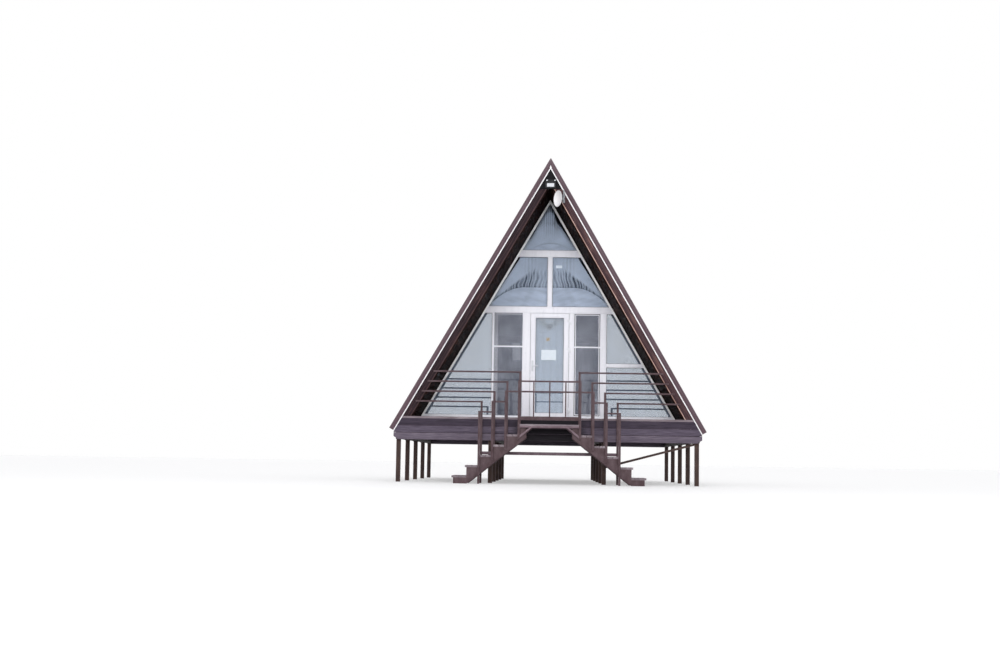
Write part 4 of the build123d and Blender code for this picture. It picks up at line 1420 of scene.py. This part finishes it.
        edges = self.edges(side, lambda z: self.drawn_edge(z, side), self.centre_edge(side))
        return Drape(
            f"upper_{word}_curtain", *edges, self.wall.upper[0] + 0.03, self.swept_hem, fold, self.near,
            self.depth, across=240, down=110,
        ).build(("white_wall_transoms",))

    def outer_pane(self, side: int, word: str) -> Mesh:
        """Curtain of an outer pane: smooth at the left, drawn along the slope at the right."""
        wall, drawn = self.wall, 0.25 if side < 0 else 1.0
        inner = wall.left_mullion[0] + 0.004 if side < 0 else wall.right_mullion[1] - 0.004

        def fold(x: float, z: float) -> tuple[float, float]:
            """Soft upright folds, with sharper ones beside the slope in the upper part; their shade is
            painted, with a painted dark band along the sloping frame.
            """
            soft = math.sin(x * 19 + 1.2 * math.sin(z * 1.6))
            edge = self.slope_edge(z) - abs(x)
            top = ramp(z, 2.3, 3.3) * bell(edge, 0.0, 0.42) * drawn
            sharp = 0.5 + 0.5 * math.sin(edge * math.tau / 0.062 + 0.7 * math.sin(z * 7))
            # Painted dark band along the sloping frame.
            near = bell(edge, 0.0, 0.045) * 0.7 * ramp(z, 2.5, 3.3) * drawn
            return 0.3 + 0.14 * soft + 0.12 * sharp * top, 0.06 + 0.06 * soft + 0.5 * top * sharp ** 2 + near

        return Drape(
            f"outer_{word}_curtain", *self.edges(side, self.slope_edge, inner), wall.lower[0] - 0.004,
            lambda x: FORM.deck + 0.03, fold, self.near, self.depth, across=150, down=110,
            finish=SHADED_CLOTH,
        ).build(("white_wall_transoms",))

    def liners(self) -> None:
        """Hangs the plain second curtains that show below the swept hems."""
        low, high = self.wall.lower[1] + 0.002, self.wall.upper[0] + 0.03

        def wrinkle(x: float, z: float) -> tuple[float, float]:
            """Slack wrinkles that curve across the sheet, with painted shade in them."""
            away = abs(x)
            wave = math.sin(34 * z + 9 * (away - 0.5) ** 2) + 0.6 * math.sin(61 * z - 21 * away)
            soft = 0.5 + 0.5 * math.sin(26 * away + 14 * z)
            return 0.74 + 0.08 * wave, 0.12 + 0.06 * wave + 0.1 * soft * bell(away, 0.45, 0.2)

        for side, word in SIDES:
            edges = self.edges(side, lambda z, s=side: self.drawn_edge(z, s), self.centre_edge(side))
            Drape(
                f"upper_{word}_liner", *edges, high, lambda x: low, wrinkle, self.near, self.depth,
                across=80, down=80, finish=LINER,
            ).build(("white_wall_transoms",))
        Drape(
            "top_liner", lambda z: -self.slope_edge(z), self.slope_edge, 4.97,
            lambda x: self.wall.upper[1] - 0.03, wrinkle, self.near, self.depth, across=60, down=60,
            finish=LINER,
        ).build(("white_sloping_frames",))


@dataclass
class Door:
    """Glazed door with its curtain, handles, hinges and the small things on its glass."""

    left: float = -0.368
    right: float = 0.41
    low: float = 1.3
    high: float = 3.443
    stile: float = 0.092
    bottom_rail: float = 0.103
    top_rail: float = 0.084
    recess: float = 0.018
    thickness: float = 0.06
    curtain_lap: float = 0.01
    star_centre: tuple[float, float] = (-0.012, 2.915)
    star_rays: int = 8
    ray_lengths: tuple[float, float] = (0.04, 0.05)

    def light(self, lap: float = 0.0) -> tuple[float, float, float, float]:
        """Left, right, low and high edge of the glass, with a lap added all round."""
        return (
            self.left + self.stile - lap, self.right - self.stile + lap,
            self.low + self.bottom_rail - lap, self.high - self.top_rail + lap,
        )

    def build(self) -> None:
        """Builds everything that swings with the door, and the frame's hinge halves."""
        dress("door_leaf", "white_door_leaf", (UPVC,), 0.005, "door")
        glaze("door", [rectangle(*self.light())], self.recess, DOOR_GLASS, ("door_glass",), "door")
        dress("door_handle", "door_handles", (HANDLE_COAT,), 0.003, "door", 3)
        dress("door_hinges", "door_hinge_halves", (HINGE_COAT,), 0.001, "door")
        dress("frame_hinges", "frame_hinge_halves", (HINGE_COAT,), 0.001)
        self.curtain()
        self.notice()
        self.straw_star()

    def curtain(self) -> None:
        """Hangs the door's curtain, level at its top, with painted shade drooping in a V from the middle of
        its top.
        """
        x0, x1, low, high = self.light(self.curtain_lap)
        middle, reach, tip = 0.01, 0.28, 3.17

        def fold(x: float, z: float) -> tuple[float, float]:
            """Upright folds with painted shade, darker towards the top, a painted V of shade in the middle of
            the top, and painted shadow under the top rail.
            """
            soft = math.sin(x * 47 + 0.8 * math.sin(2.4 * z))
            away = abs(x - middle)
            arm = tip + (high - tip) * away / reach
            wedge = 0.06 + 0.06 * away / reach
            vee_shade = bell(z, arm, wedge) * (1 if away < reach else 0)
            spot_shade = bell(away, 0.0, 0.06) * bell(z, tip, 0.04)
            # Painted shade: darker towards the top, and the V and the spot in the middle of the top.
            shade = 0.04 + 0.26 * ramp(z, 1.6, 3.3) + 0.05 * soft + 0.38 * vee_shade + 0.5 * spot_shade
            # Painted shadow under the top rail.
            shade += 0.5 * bell(z, high, 0.03)
            return 0.5 + 0.22 * soft, shade

        near = FORM.wall_face + self.thickness + 0.001
        Drape(
            "door_curtain_cloth", lambda z: x0, lambda z: x1, high, lambda x: low, fold, near, 0.013,
            finish=DOOR_CLOTH,
        ).build(("white_door_leaf",), "door", ("door_curtain",))

    @property
    def glass_back(self) -> float:
        """Y of the glass's inner face."""
        return FORM.wall_face + self.recess + GLASS_UNIT

    def notice(self) -> None:
        """Fixes the blank sheet of paper to the inside of the door's glass."""
        sheet_of_paper("door_notice", (-0.146, 2.488), (0.158, 2.7), self.glass_back + 0.0006, "door")

    def straw_star(self, foot: float = 0.006, tip: float = 0.011, knob: float = 0.013) -> None:
        """Hangs a small straw star on the inside of the door's glass.

        Args:
            foot: Half width of a ray at its foot, and the height where it starts.
            tip: Half width of a ray at its widest, from where it comes to a point.
            knob: Radius of the knot in the middle.
        """
        centre = (self.star_centre[0], self.glass_back + 0.002, self.star_centre[1])
        rays = []
        for index in range(self.star_rays):
            length = self.ray_lengths[index % 2]
            ray = plate(
                [(-foot, foot), (foot, foot), (tip, length * 0.7), (0.0, length), (-tip, length * 0.7)],
                -0.001, 0.001,
            )
            angle = index * math.tau / self.star_rays
            rays.append(turn(ray, Matrix.Translation(centre) @ Matrix.Rotation(angle, 4, "Y")))
        bpy.ops.mesh.primitive_uv_sphere_add(segments=16, ring_count=8, radius=knob, location=centre)
        bpy.context.object.scale = (1, 0.25, 1)
        star = ease(join([*rays, settled()]), 0.0006, 1)
        fit(star, "straw_star", (DRIED_STRAW,), body="door")


PAPER_THICKNESS = 0.0003
PAPER_CURL = 0.003


def sheet_of_paper(
    name: str, low: tuple[float, float], high: tuple[float, float], y: float, body: str = "cabin",
) -> Mesh:
    """Adds a blank sheet of paper that curls a little at its corners, between two corners in X and Z."""
    deselect()
    bpy.ops.mesh.primitive_grid_add(x_subdivisions=16, y_subdivisions=16, size=2)
    piece = bpy.context.object
    for vertex in piece.data.vertices:
        u, v = (vertex.co.x + 1) / 2, (vertex.co.y + 1) / 2
        curl = PAPER_CURL * max(0.0, abs(u - 0.5) * 2 - 0.6) * max(0.0, abs(v - 0.5) * 2 - 0.5)
        vertex.co = (low[0] + u * (high[0] - low[0]), y + curl, low[1] + v * (high[1] - low[1]))
    modify(piece, "SOLIDIFY", thickness=PAPER_THICKNESS, offset=1.0)
    bpy.ops.object.shade_smooth()
    return fit(piece, name, (PAPER,), body=body)


@dataclass
class BackWall:
    """Weatherboards and windows of the back gable."""

    board: float = 0.14
    joint: float = 0.005
    thickness: float = 0.011
    slope_out: float = -0.17
    frame_width: float = 0.06
    casing: float = 0.05
    casing_out: tuple[float, float] = (0.0112, 0.022)
    sill_out: float = 0.06
    window_y: float = 3.94
    recess: float = 0.016
    # Left, right, low and high edge of each window's frame.
    lights: tuple[tuple[float, float, float, float], ...] = (
        (-1.4, -0.6, 2.175, 3.275), (0.6, 1.4, 2.175, 3.275), (-0.4, 0.4, 3.895, 4.695),
    )

    def build(self) -> None:
        """Builds the boards, windows and blinds."""
        dress("back_wall", "back_wall_core", (CLADDING_STAIN,), 0.002)
        self.boards()
        dress("back_window_frames", "white_back_frames", (UPVC,), 0.004)
        self.glaze()
        self.casings()
        self.blinds()

    def outlines(self, inset: float) -> list[Corners]:
        """Outlines of the windows, drawn in by an inset."""
        return [rectangle(x0 + inset, x1 - inset, z0 + inset, z1 - inset) for x0, x1, z0, z1 in self.lights]

    def boards(self) -> None:
        """Lays level boards over the wall, cut around the windows."""
        face, bottom, peak = FORM.back_wall, FORM.deck + 0.002, FORM.peak(self.slope_out)
        shape = FORM.gable(self.slope_out, bottom)
        boards = []
        while bottom < peak - 0.03:
            top = min(bottom + self.board - self.joint, peak - 0.02)
            course = cut_between(shape, bottom, top)
            gaps = sorted(
                (x0, x1) for x0, x1, z0, z1 in self.lights if z0 < top - 0.002 and z1 > bottom + 0.002
            )
            left = -FORM.half(bottom, self.slope_out)
            for x0, x1 in [*gaps, (-left, 0.0)]:
                piece = cut_across(course, left, x0)
                if len(piece) > 2:
                    boards.append(plate(piece, face, face + self.thickness))
                left = x1
            bottom += self.board
        fit(ease(join(boards), 0.004, 2), "weatherboards", (CLADDING_STAIN,))

    def glaze(self) -> None:
        """Glazes the windows, whose outer face looks along +Y."""
        front = self.window_y - self.recess
        back = front - GLASS_UNIT
        sheets, beads, gaskets = [], [], []
        for outline in self.outlines(self.frame_width):
            sheets += [plate(outline, front - GLASS_SHEET, front), plate(outline, back, back + GLASS_SHEET)]
            for near, far in ((front + PLAY, front + BEAD), (back - BEAD, back - PLAY)):
                beads.append(ring(outline, BEAD, near, far, BEAD_INSET))
            gaskets.append(ring(outline, INNER_GASKET, front + PLAY, front + GASKET_DEPTH, BEAD))
        fit(join(sheets), "back_glass_sheets", (GLASS,), ("back_window_glass",))
        fit(ease(join(beads), BEAD_ROUND, 3), "back_glazing_beads", (UPVC,))
        fit(join(gaskets), "back_gaskets", (GASKET,))

    def casings(self) -> None:
        """Builds white casings and a projecting sill around each window."""
        face = FORM.back_wall
        parts = []
        for (x0, x1, z0, _), outline in zip(self.lights, self.outlines(-self.casing)):
            near, far = (face + out for out in self.casing_out)
            parts.append(ring(outline, self.casing, near, far))
            out = self.sill_out
            parts.append(block((x0 - out, far + PLAY, z0 - 0.03), (x1 + out, face + out, z0 - 0.012)))
        fit(ease(join(parts), 0.003), "window_casings", (UPVC,))

    def blinds(self) -> None:
        """Hangs closed curtains behind the back windows."""
        def fold(x: float, z: float) -> tuple[float, float]:
            """Upright folds, with painted shade in them."""
            wave = math.sin(x * 46 + math.sin(z * 4))
            return 0.5 + 0.4 * wave, 0.2 + 0.3 * max(0.0, wave)

        for number, (x0, x1, z0, z1) in enumerate(self.lights, 1):
            Drape(
                f"back_curtain_{number}", lambda z, a=x0: a - 0.03, lambda z, b=x1: b + 0.03, z1 + 0.04,
                lambda x, d=z0: d - 0.06, fold, FORM.back_wall - 0.195, 0.03, across=80, down=40,
                finish=BLIND,
            ).build(("back_wall_core",))


def cut_across(outline: Outline, low: float, high: float) -> Corners:
    """Part of a convex outline between two upright lines."""
    turned = cut_between([(z, x) for x, z in outline], low, high)
    return [(x, z) for z, x in turned]


@dataclass
class Railings:
    """Deck rails, posts, stair railings and the railing of the landing."""

    edge: float = 0.0025

    def build(self) -> None:
        """Dresses the railings, which are rubbed bare on their edges."""
        for name in ("deck_rails", "deck_posts", "stair_railings", "landing_rails", "landing_balusters"):
            dress(name, "steel_" + name, (RAIL_PAINT, RAIL_EDGE), self.edge)
        # The landing frame takes the lighter copy of the rail paint: painted light on its wide front plate.
        dress("landing_frame", "steel_landing_frame", (LIGHTER_LANDING_PAINT, RAIL_EDGE), self.edge)


@dataclass
class Stair:
    """Stringers, boarded treads and the boards of the landing."""

    board_gap: float = 0.006
    planks: int = 8

    def build(self) -> None:
        """Builds the stair's steel and boards."""
        dress("stringers", "steel_stringers", (RAIL_PAINT, RAIL_EDGE), 0.002)
        dress("stair_braces", "steel_stair_braces", (LIGHTER_LANDING_PAINT, RAIL_EDGE), 0.003)
        self.treads()
        self.landing()

    def treads(self) -> None:
        """Builds each tread from two boards that run across the flight."""
        boards, gap = [], self.board_gap / 2
        for low, high in loose_boxes("treads"):
            middle = (low.x + high.x) / 2
            boards.append(block(low, (middle - gap, high.y, high.z)))
            boards.append(block((middle + gap, low.y, low.z), high))
        fit(ease(join(boards), 0.005), "tread_boards", (TREAD_STAIN,), ("treads",))

    def landing(self) -> None:
        """Lays the landing's boards from side to side."""
        low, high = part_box("landing_boards")
        pitch = (high.y - low.y + self.board_gap) / self.planks
        board = ease(block(low, (high.x, low.y + pitch - self.board_gap, high.z)), 0.004)
        piece = repeat(board, self.planks, (0, pitch, 0))
        fit(piece, "landing_planks", (DECK_STAIN,), ("landing_boards",))


def loose_boxes(name: str) -> list[tuple[Vector, Vector]]:
    """Lowest and highest corners of each separate solid of a CAD node."""
    copy_of(name)
    bpy.ops.object.mode_set(mode="EDIT")
    bpy.ops.mesh.separate(type="LOOSE")
    bpy.ops.object.mode_set(mode="OBJECT")
    parts = list(bpy.context.selected_objects)
    boxes = [
        tuple(Vector(limit(c[i] for c in part.bound_box) for i in range(3)) for limit in (min, max))
        for part in parts
    ]
    for part in parts:
        bpy.data.objects.remove(part)
    return sorted(boxes, key=lambda pair: tuple(pair[0]))


@dataclass
class GableFittings:
    """Floodlight and dish on the front gable."""

    dish_radius: float = 0.159
    dish_bowl: float = 0.052
    dish_turn: float = math.radians(61)
    dish_drop: float = 0.614
    dish_arm: float = 0.08
    mast_x: float = 0.262
    mast_standoff: float = 0.092
    lens_x: tuple[float, float] = (-0.069, 0.073)
    lens_z: tuple[float, float] = (5.796, 5.866)
    bolts_x: tuple[float, float] = (-0.069, 0.088)
    bolts_z: float = 5.935
    board_face: float = FORM.front - 0.018
    taper: float = 0.82
    lens_rim: float = 0.016
    lens_depth: float = 0.014
    mount_depth: float = 0.022
    fins: int = 14
    fin: float = 0.004
    fin_edge: float = 0.03
    fin_out: float = 0.012
    arm: float = 0.012
    dish_skin: float = 0.0035

    def build(self) -> None:
        """Builds the lamp and the dish."""
        self.floodlight()
        self.dish()
        dress("dish_bracket", "dish_mast_and_clips", (GALVANISED,), 0.001)

    def floodlight(self) -> None:
        """Builds the lamp: a tapered housing with a recessed lens, cooling fins and a bracket."""
        low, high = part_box("floodlight")
        back = high.y - self.mount_depth
        housing = block((low.x, low.y, low.z), (high.x, back, high.z))
        bpy.ops.object.mode_set(mode="EDIT")
        bpy.ops.mesh.select_mode(type="FACE")
        for direction, amount in ((1, self.taper), (-1, None)):
            bpy.ops.mesh.select_all(action="DESELECT")
            bpy.ops.object.mode_set(mode="OBJECT")
            for face in housing.data.polygons:
                face.select = face.normal.y * direction > 0.9
            bpy.ops.object.mode_set(mode="EDIT")
            if amount:
                bpy.ops.transform.resize(value=(amount, 1, amount))
            else:
                bpy.ops.mesh.inset(thickness=self.lens_rim, depth=0)
                bpy.ops.mesh.extrude_region_move(TRANSFORM_OT_translate={"value": (0, self.lens_depth, 0)})
        bpy.ops.object.mode_set(mode="OBJECT")
        ease(housing, 0.004, 3)
        edge, fin, arm = self.fin_edge, self.fin, self.arm
        first = (low.x + edge, back - fin, low.z + edge)
        fins = block(first, (low.x + edge + fin, back + self.fin_out, high.z - edge))
        repeat(fins, self.fins, ((high.x - low.x - 2 * edge - fin) / (self.fins - 1), 0, 0))
        middle = (low.z + high.z) / 2
        mount = block((-0.03, back, middle - 0.045), (0.03, high.y, middle + 0.045))
        arms = [
            block((x, back - 0.02, high.z - 0.02), (x + arm, high.y - 0.004, high.z + arm))
            for x in (low.x + arm, high.x - 2 * arm)
        ]
        body = join([housing, fins, ease(mount, 0.003), *arms])
        fit(body, "floodlight_housing", (LAMP_COAT,), ("floodlight",))
        lens = block(
            (self.lens_x[0], low.y + 0.006, self.lens_z[0]), (self.lens_x[1], low.y + 0.0135, self.lens_z[1]),
        )
        fit(ease(lens, 0.003), "floodlight_lens", (LAMP_LENS,))
        self.strap()

    def strap(self) -> None:
        """Builds the strap that the lamp hangs from, with a bright bolt at each end."""
        face, (left, right), z = self.board_face, self.bolts_x, self.bolts_z
        strap = block((left - 0.018, face - 0.005, z - 0.013), (right + 0.018, face - 0.0002, z + 0.013))
        fit(ease(strap, 0.002), "lamp_strap", (LAMP_COAT,))
        bolts = [
            cylinder(radius, depth, (x, face - out, z), 24, (math.pi / 2, 0, 0))
            for x in self.bolts_x
            for radius, depth, out in ((0.014, 0.003, 0.0065), (0.011, 0.009, 0.0125))
        ]
        fit(ease(join(bolts), 0.002), "lamp_bolts", (HINGE_COAT,))

    def dish(self) -> None:
        """Builds the dish: a pressed bowl with a rolled rim and a hub on its back."""
        facing = Vector((-math.sin(self.dish_turn), -math.cos(self.dish_turn), 0))
        mast = Vector((self.mast_x, FORM.front - self.mast_standoff, FORM.apex - self.dish_drop))
        origin = mast + facing * self.dish_arm
        radius = (self.dish_radius ** 2 + self.dish_bowl ** 2) / (2 * self.dish_bowl)
        deselect()
        bpy.ops.mesh.primitive_uv_sphere_add(
            segments=96, ring_count=96, radius=radius, location=(0, 0, radius),
        )
        bowl = settled()
        bpy.ops.object.mode_set(mode="EDIT")
        bpy.ops.mesh.select_all(action="SELECT")
        bpy.ops.mesh.bisect(plane_co=(0, 0, self.dish_bowl), plane_no=(0, 0, 1), clear_outer=True)
        bpy.ops.object.mode_set(mode="OBJECT")
        modify(bowl, "SOLIDIFY", thickness=self.dish_skin, offset=1.0)
        bpy.ops.mesh.primitive_torus_add(
            major_radius=self.dish_radius - 0.001, minor_radius=self.dish_skin, major_segments=96,
            minor_segments=10, location=(0, 0, self.dish_bowl),
        )
        bowl = join([bowl, settled()])
        bpy.ops.object.shade_smooth_by_angle(angle=math.radians(40))
        mounted = Matrix.Translation(origin) @ facing.to_track_quat("Z", "Y").to_matrix().to_4x4()
        turn(bowl, mounted)
        # Faces turned away take the grey copy of the coat: painted shade on the dish's back.
        coat(bowl, DISH_COAT, DISH_SHADED_BACK)
        for face in bowl.data.polygons:
            face.material_index = 1 if face.normal.dot(facing) < -0.3 else 0
        fit(bowl, "pressed_dish", (), ("dish",))
        hub = turn(cylinder(0.034, 0.022, (0, 0, -0.0135), 32), mounted)
        fit(ease(hub, 0.003), "dish_hub", (GALVANISED,))


@dataclass(frozen=True)
class SoftLamp:
    """A large soft lamp that mirrors in nothing.

    Attributes:
        name: Name of the lamp.
        place: Where it stands, in metres.
        power: Watts.
        size: Side of its square face.
        aim: The point that it faces, the middle of the cabin.
    """

    name: str
    place: tuple[float, float, float]
    power: float
    size: float = 14.0
    aim: tuple[float, float, float] = (0, 0, 3)

    def build(self) -> None:
        """Sets the lamp and aims it."""
        data = bpy.data.lights.new(self.name, "AREA")
        data.size = self.size
        data.energy = self.power
        lamp = bpy.data.objects.new(self.name, data)
        bpy.context.scene.collection.objects.link(lamp)
        lamp.location = self.place
        lamp.rotation_euler = (Vector(self.aim) - lamp.location).to_track_quat("-Z", "Y").to_euler()
        lamp.visible_glossy = False
        lamp.visible_transmission = False
        lamp.visible_camera = False


@dataclass
class Studio:
    """Floor, light and camera."""

    all_round: float = 0.6
    from_front: float = 1.7
    from_back: float = 1.8
    lobe_edge: float = 0.6
    floor_colour: str = "#cfcfd1"
    floor_size: float = 600
    floor_glow: float = 0.38
    lamps: tuple[SoftLamp, ...] = (
        SoftLamp("soft_key", (-9, -32, 11), 900), SoftLamp("snow_fill", (1, -31, 2.6), 3700),
    )
    camera_place: tuple[float, float, float] = (0.036, -31.775, 0.429)
    yaw: float = -0.03447
    tilt: float = 0.0866
    roll: float = 0.0155
    sensor: float = 36
    focal_pixels: float = 1468.5
    picture_width: int = 1000

    def build(self) -> None:
        """Builds the stage and the camera."""
        self.floor()
        self.world()
        for lamp in self.lamps:
            lamp.build()
        self.camera()

    @staticmethod
    def seen(tree: Tree) -> Socket:
        """One for what the camera sees, straight, in a gloss or through glass, and none for light itself."""
        ray = node(tree, "LightPath").outputs
        direct = maths(tree, "MAXIMUM", ray["Is Camera Ray"], ray["Is Glossy Ray"])
        both = maths(tree, "MAXIMUM", direct, ray["Is Transmission Ray"])
        return times(tree, both, maths(tree, "LESS_THAN", ray["Diffuse Depth"], 0.5))

    def floor(self) -> None:
        """Lays a pale floor that keeps the cabin's shadow."""
        deselect()
        bpy.ops.mesh.primitive_plane_add(size=self.floor_size)
        floor = bpy.context.object
        floor.name = "floor"
        made = bpy.data.materials.new("pale_studio_floor")
        made.use_nodes = True
        tree = made.node_tree
        plug(tree, tree.nodes["Principled BSDF"], {
            "Base Color": srgb(self.floor_colour), "Roughness": 0.9, "Emission Color": srgb("#ffffff"),
            "Emission Strength": times(tree, self.seen(tree), self.floor_glow),
        })
        floor.data.materials.append(made)

    def world(self) -> None:
        """Sets a white surround that lights the cabin from all sides, and most from the front."""
        world = bpy.data.worlds.new("white_surround")
        bpy.context.scene.world = world
        world.use_nodes = True
        tree = world.node_tree
        depth = node(tree, "SeparateXYZ", {0: node(tree, "TexCoord").outputs["Generated"]}).outputs[1]
        front = between(tree, depth, -1.0, -self.lobe_edge, self.from_front, 0.0)
        back = between(tree, depth, self.lobe_edge, 1.0, 0.0, self.from_back)
        light = maths(tree, "ADD", maths(tree, "ADD", front, back), self.all_round)
        strength = node(tree, "Mix", {0: self.seen(tree), 2: light, 3: 1.0}, data_type="FLOAT").outputs[0]
        plug(tree, tree.nodes["Background"], {"Color": (1, 1, 1, 1), "Strength": strength})

    def camera(self) -> None:
        """Sets the camera where the photograph was taken from."""
        forward = Vector((
            math.sin(self.yaw) * math.cos(self.tilt), math.cos(self.yaw) * math.cos(self.tilt),
            math.sin(self.tilt),
        ))
        right = Vector((math.cos(self.yaw), -math.sin(self.yaw), 0))
        up = right.cross(forward)
        rolled_right = right * math.cos(self.roll) + up * math.sin(self.roll)
        rolled_up = up * math.cos(self.roll) - right * math.sin(self.roll)
        data = bpy.data.cameras.new("camera")
        data.lens = self.focal_pixels * self.sensor / self.picture_width
        data.sensor_width = self.sensor
        data.sensor_fit = "HORIZONTAL"
        data.clip_end = 1000
        camera = bpy.data.objects.new("camera", data)
        bpy.context.scene.collection.objects.link(camera)
        axes = Matrix((rolled_right, rolled_up, -forward)).transposed().to_4x4()
        camera.matrix_world = Matrix.Translation(self.camera_place) @ axes
        bpy.context.scene.camera = camera
        bpy.context.scene.view_settings.view_transform = "Standard"


def main() -> None:
    """Builds every sub-assembly in order."""
    logging.basicConfig(level=logging.INFO, format="%(name)s: %(message)s")
    for part in (Studio, Substructure, Decks, Roof, Verges, WindowWall, Curtains, Door):
        part().build()
    sheet_of_paper("window_card", (0.131, 4.375), (0.258, 4.434), FORM.wall_face + 0.0408)
    sheet_of_paper("side_window_sheet", (-0.731, 2.48), (-0.575, 2.83), FORM.wall_face + 0.0408)
    for part in (BackWall, Railings, Stair, GableFittings):
        part().build()
    deselect()


if __name__ == "__main__":
    main()
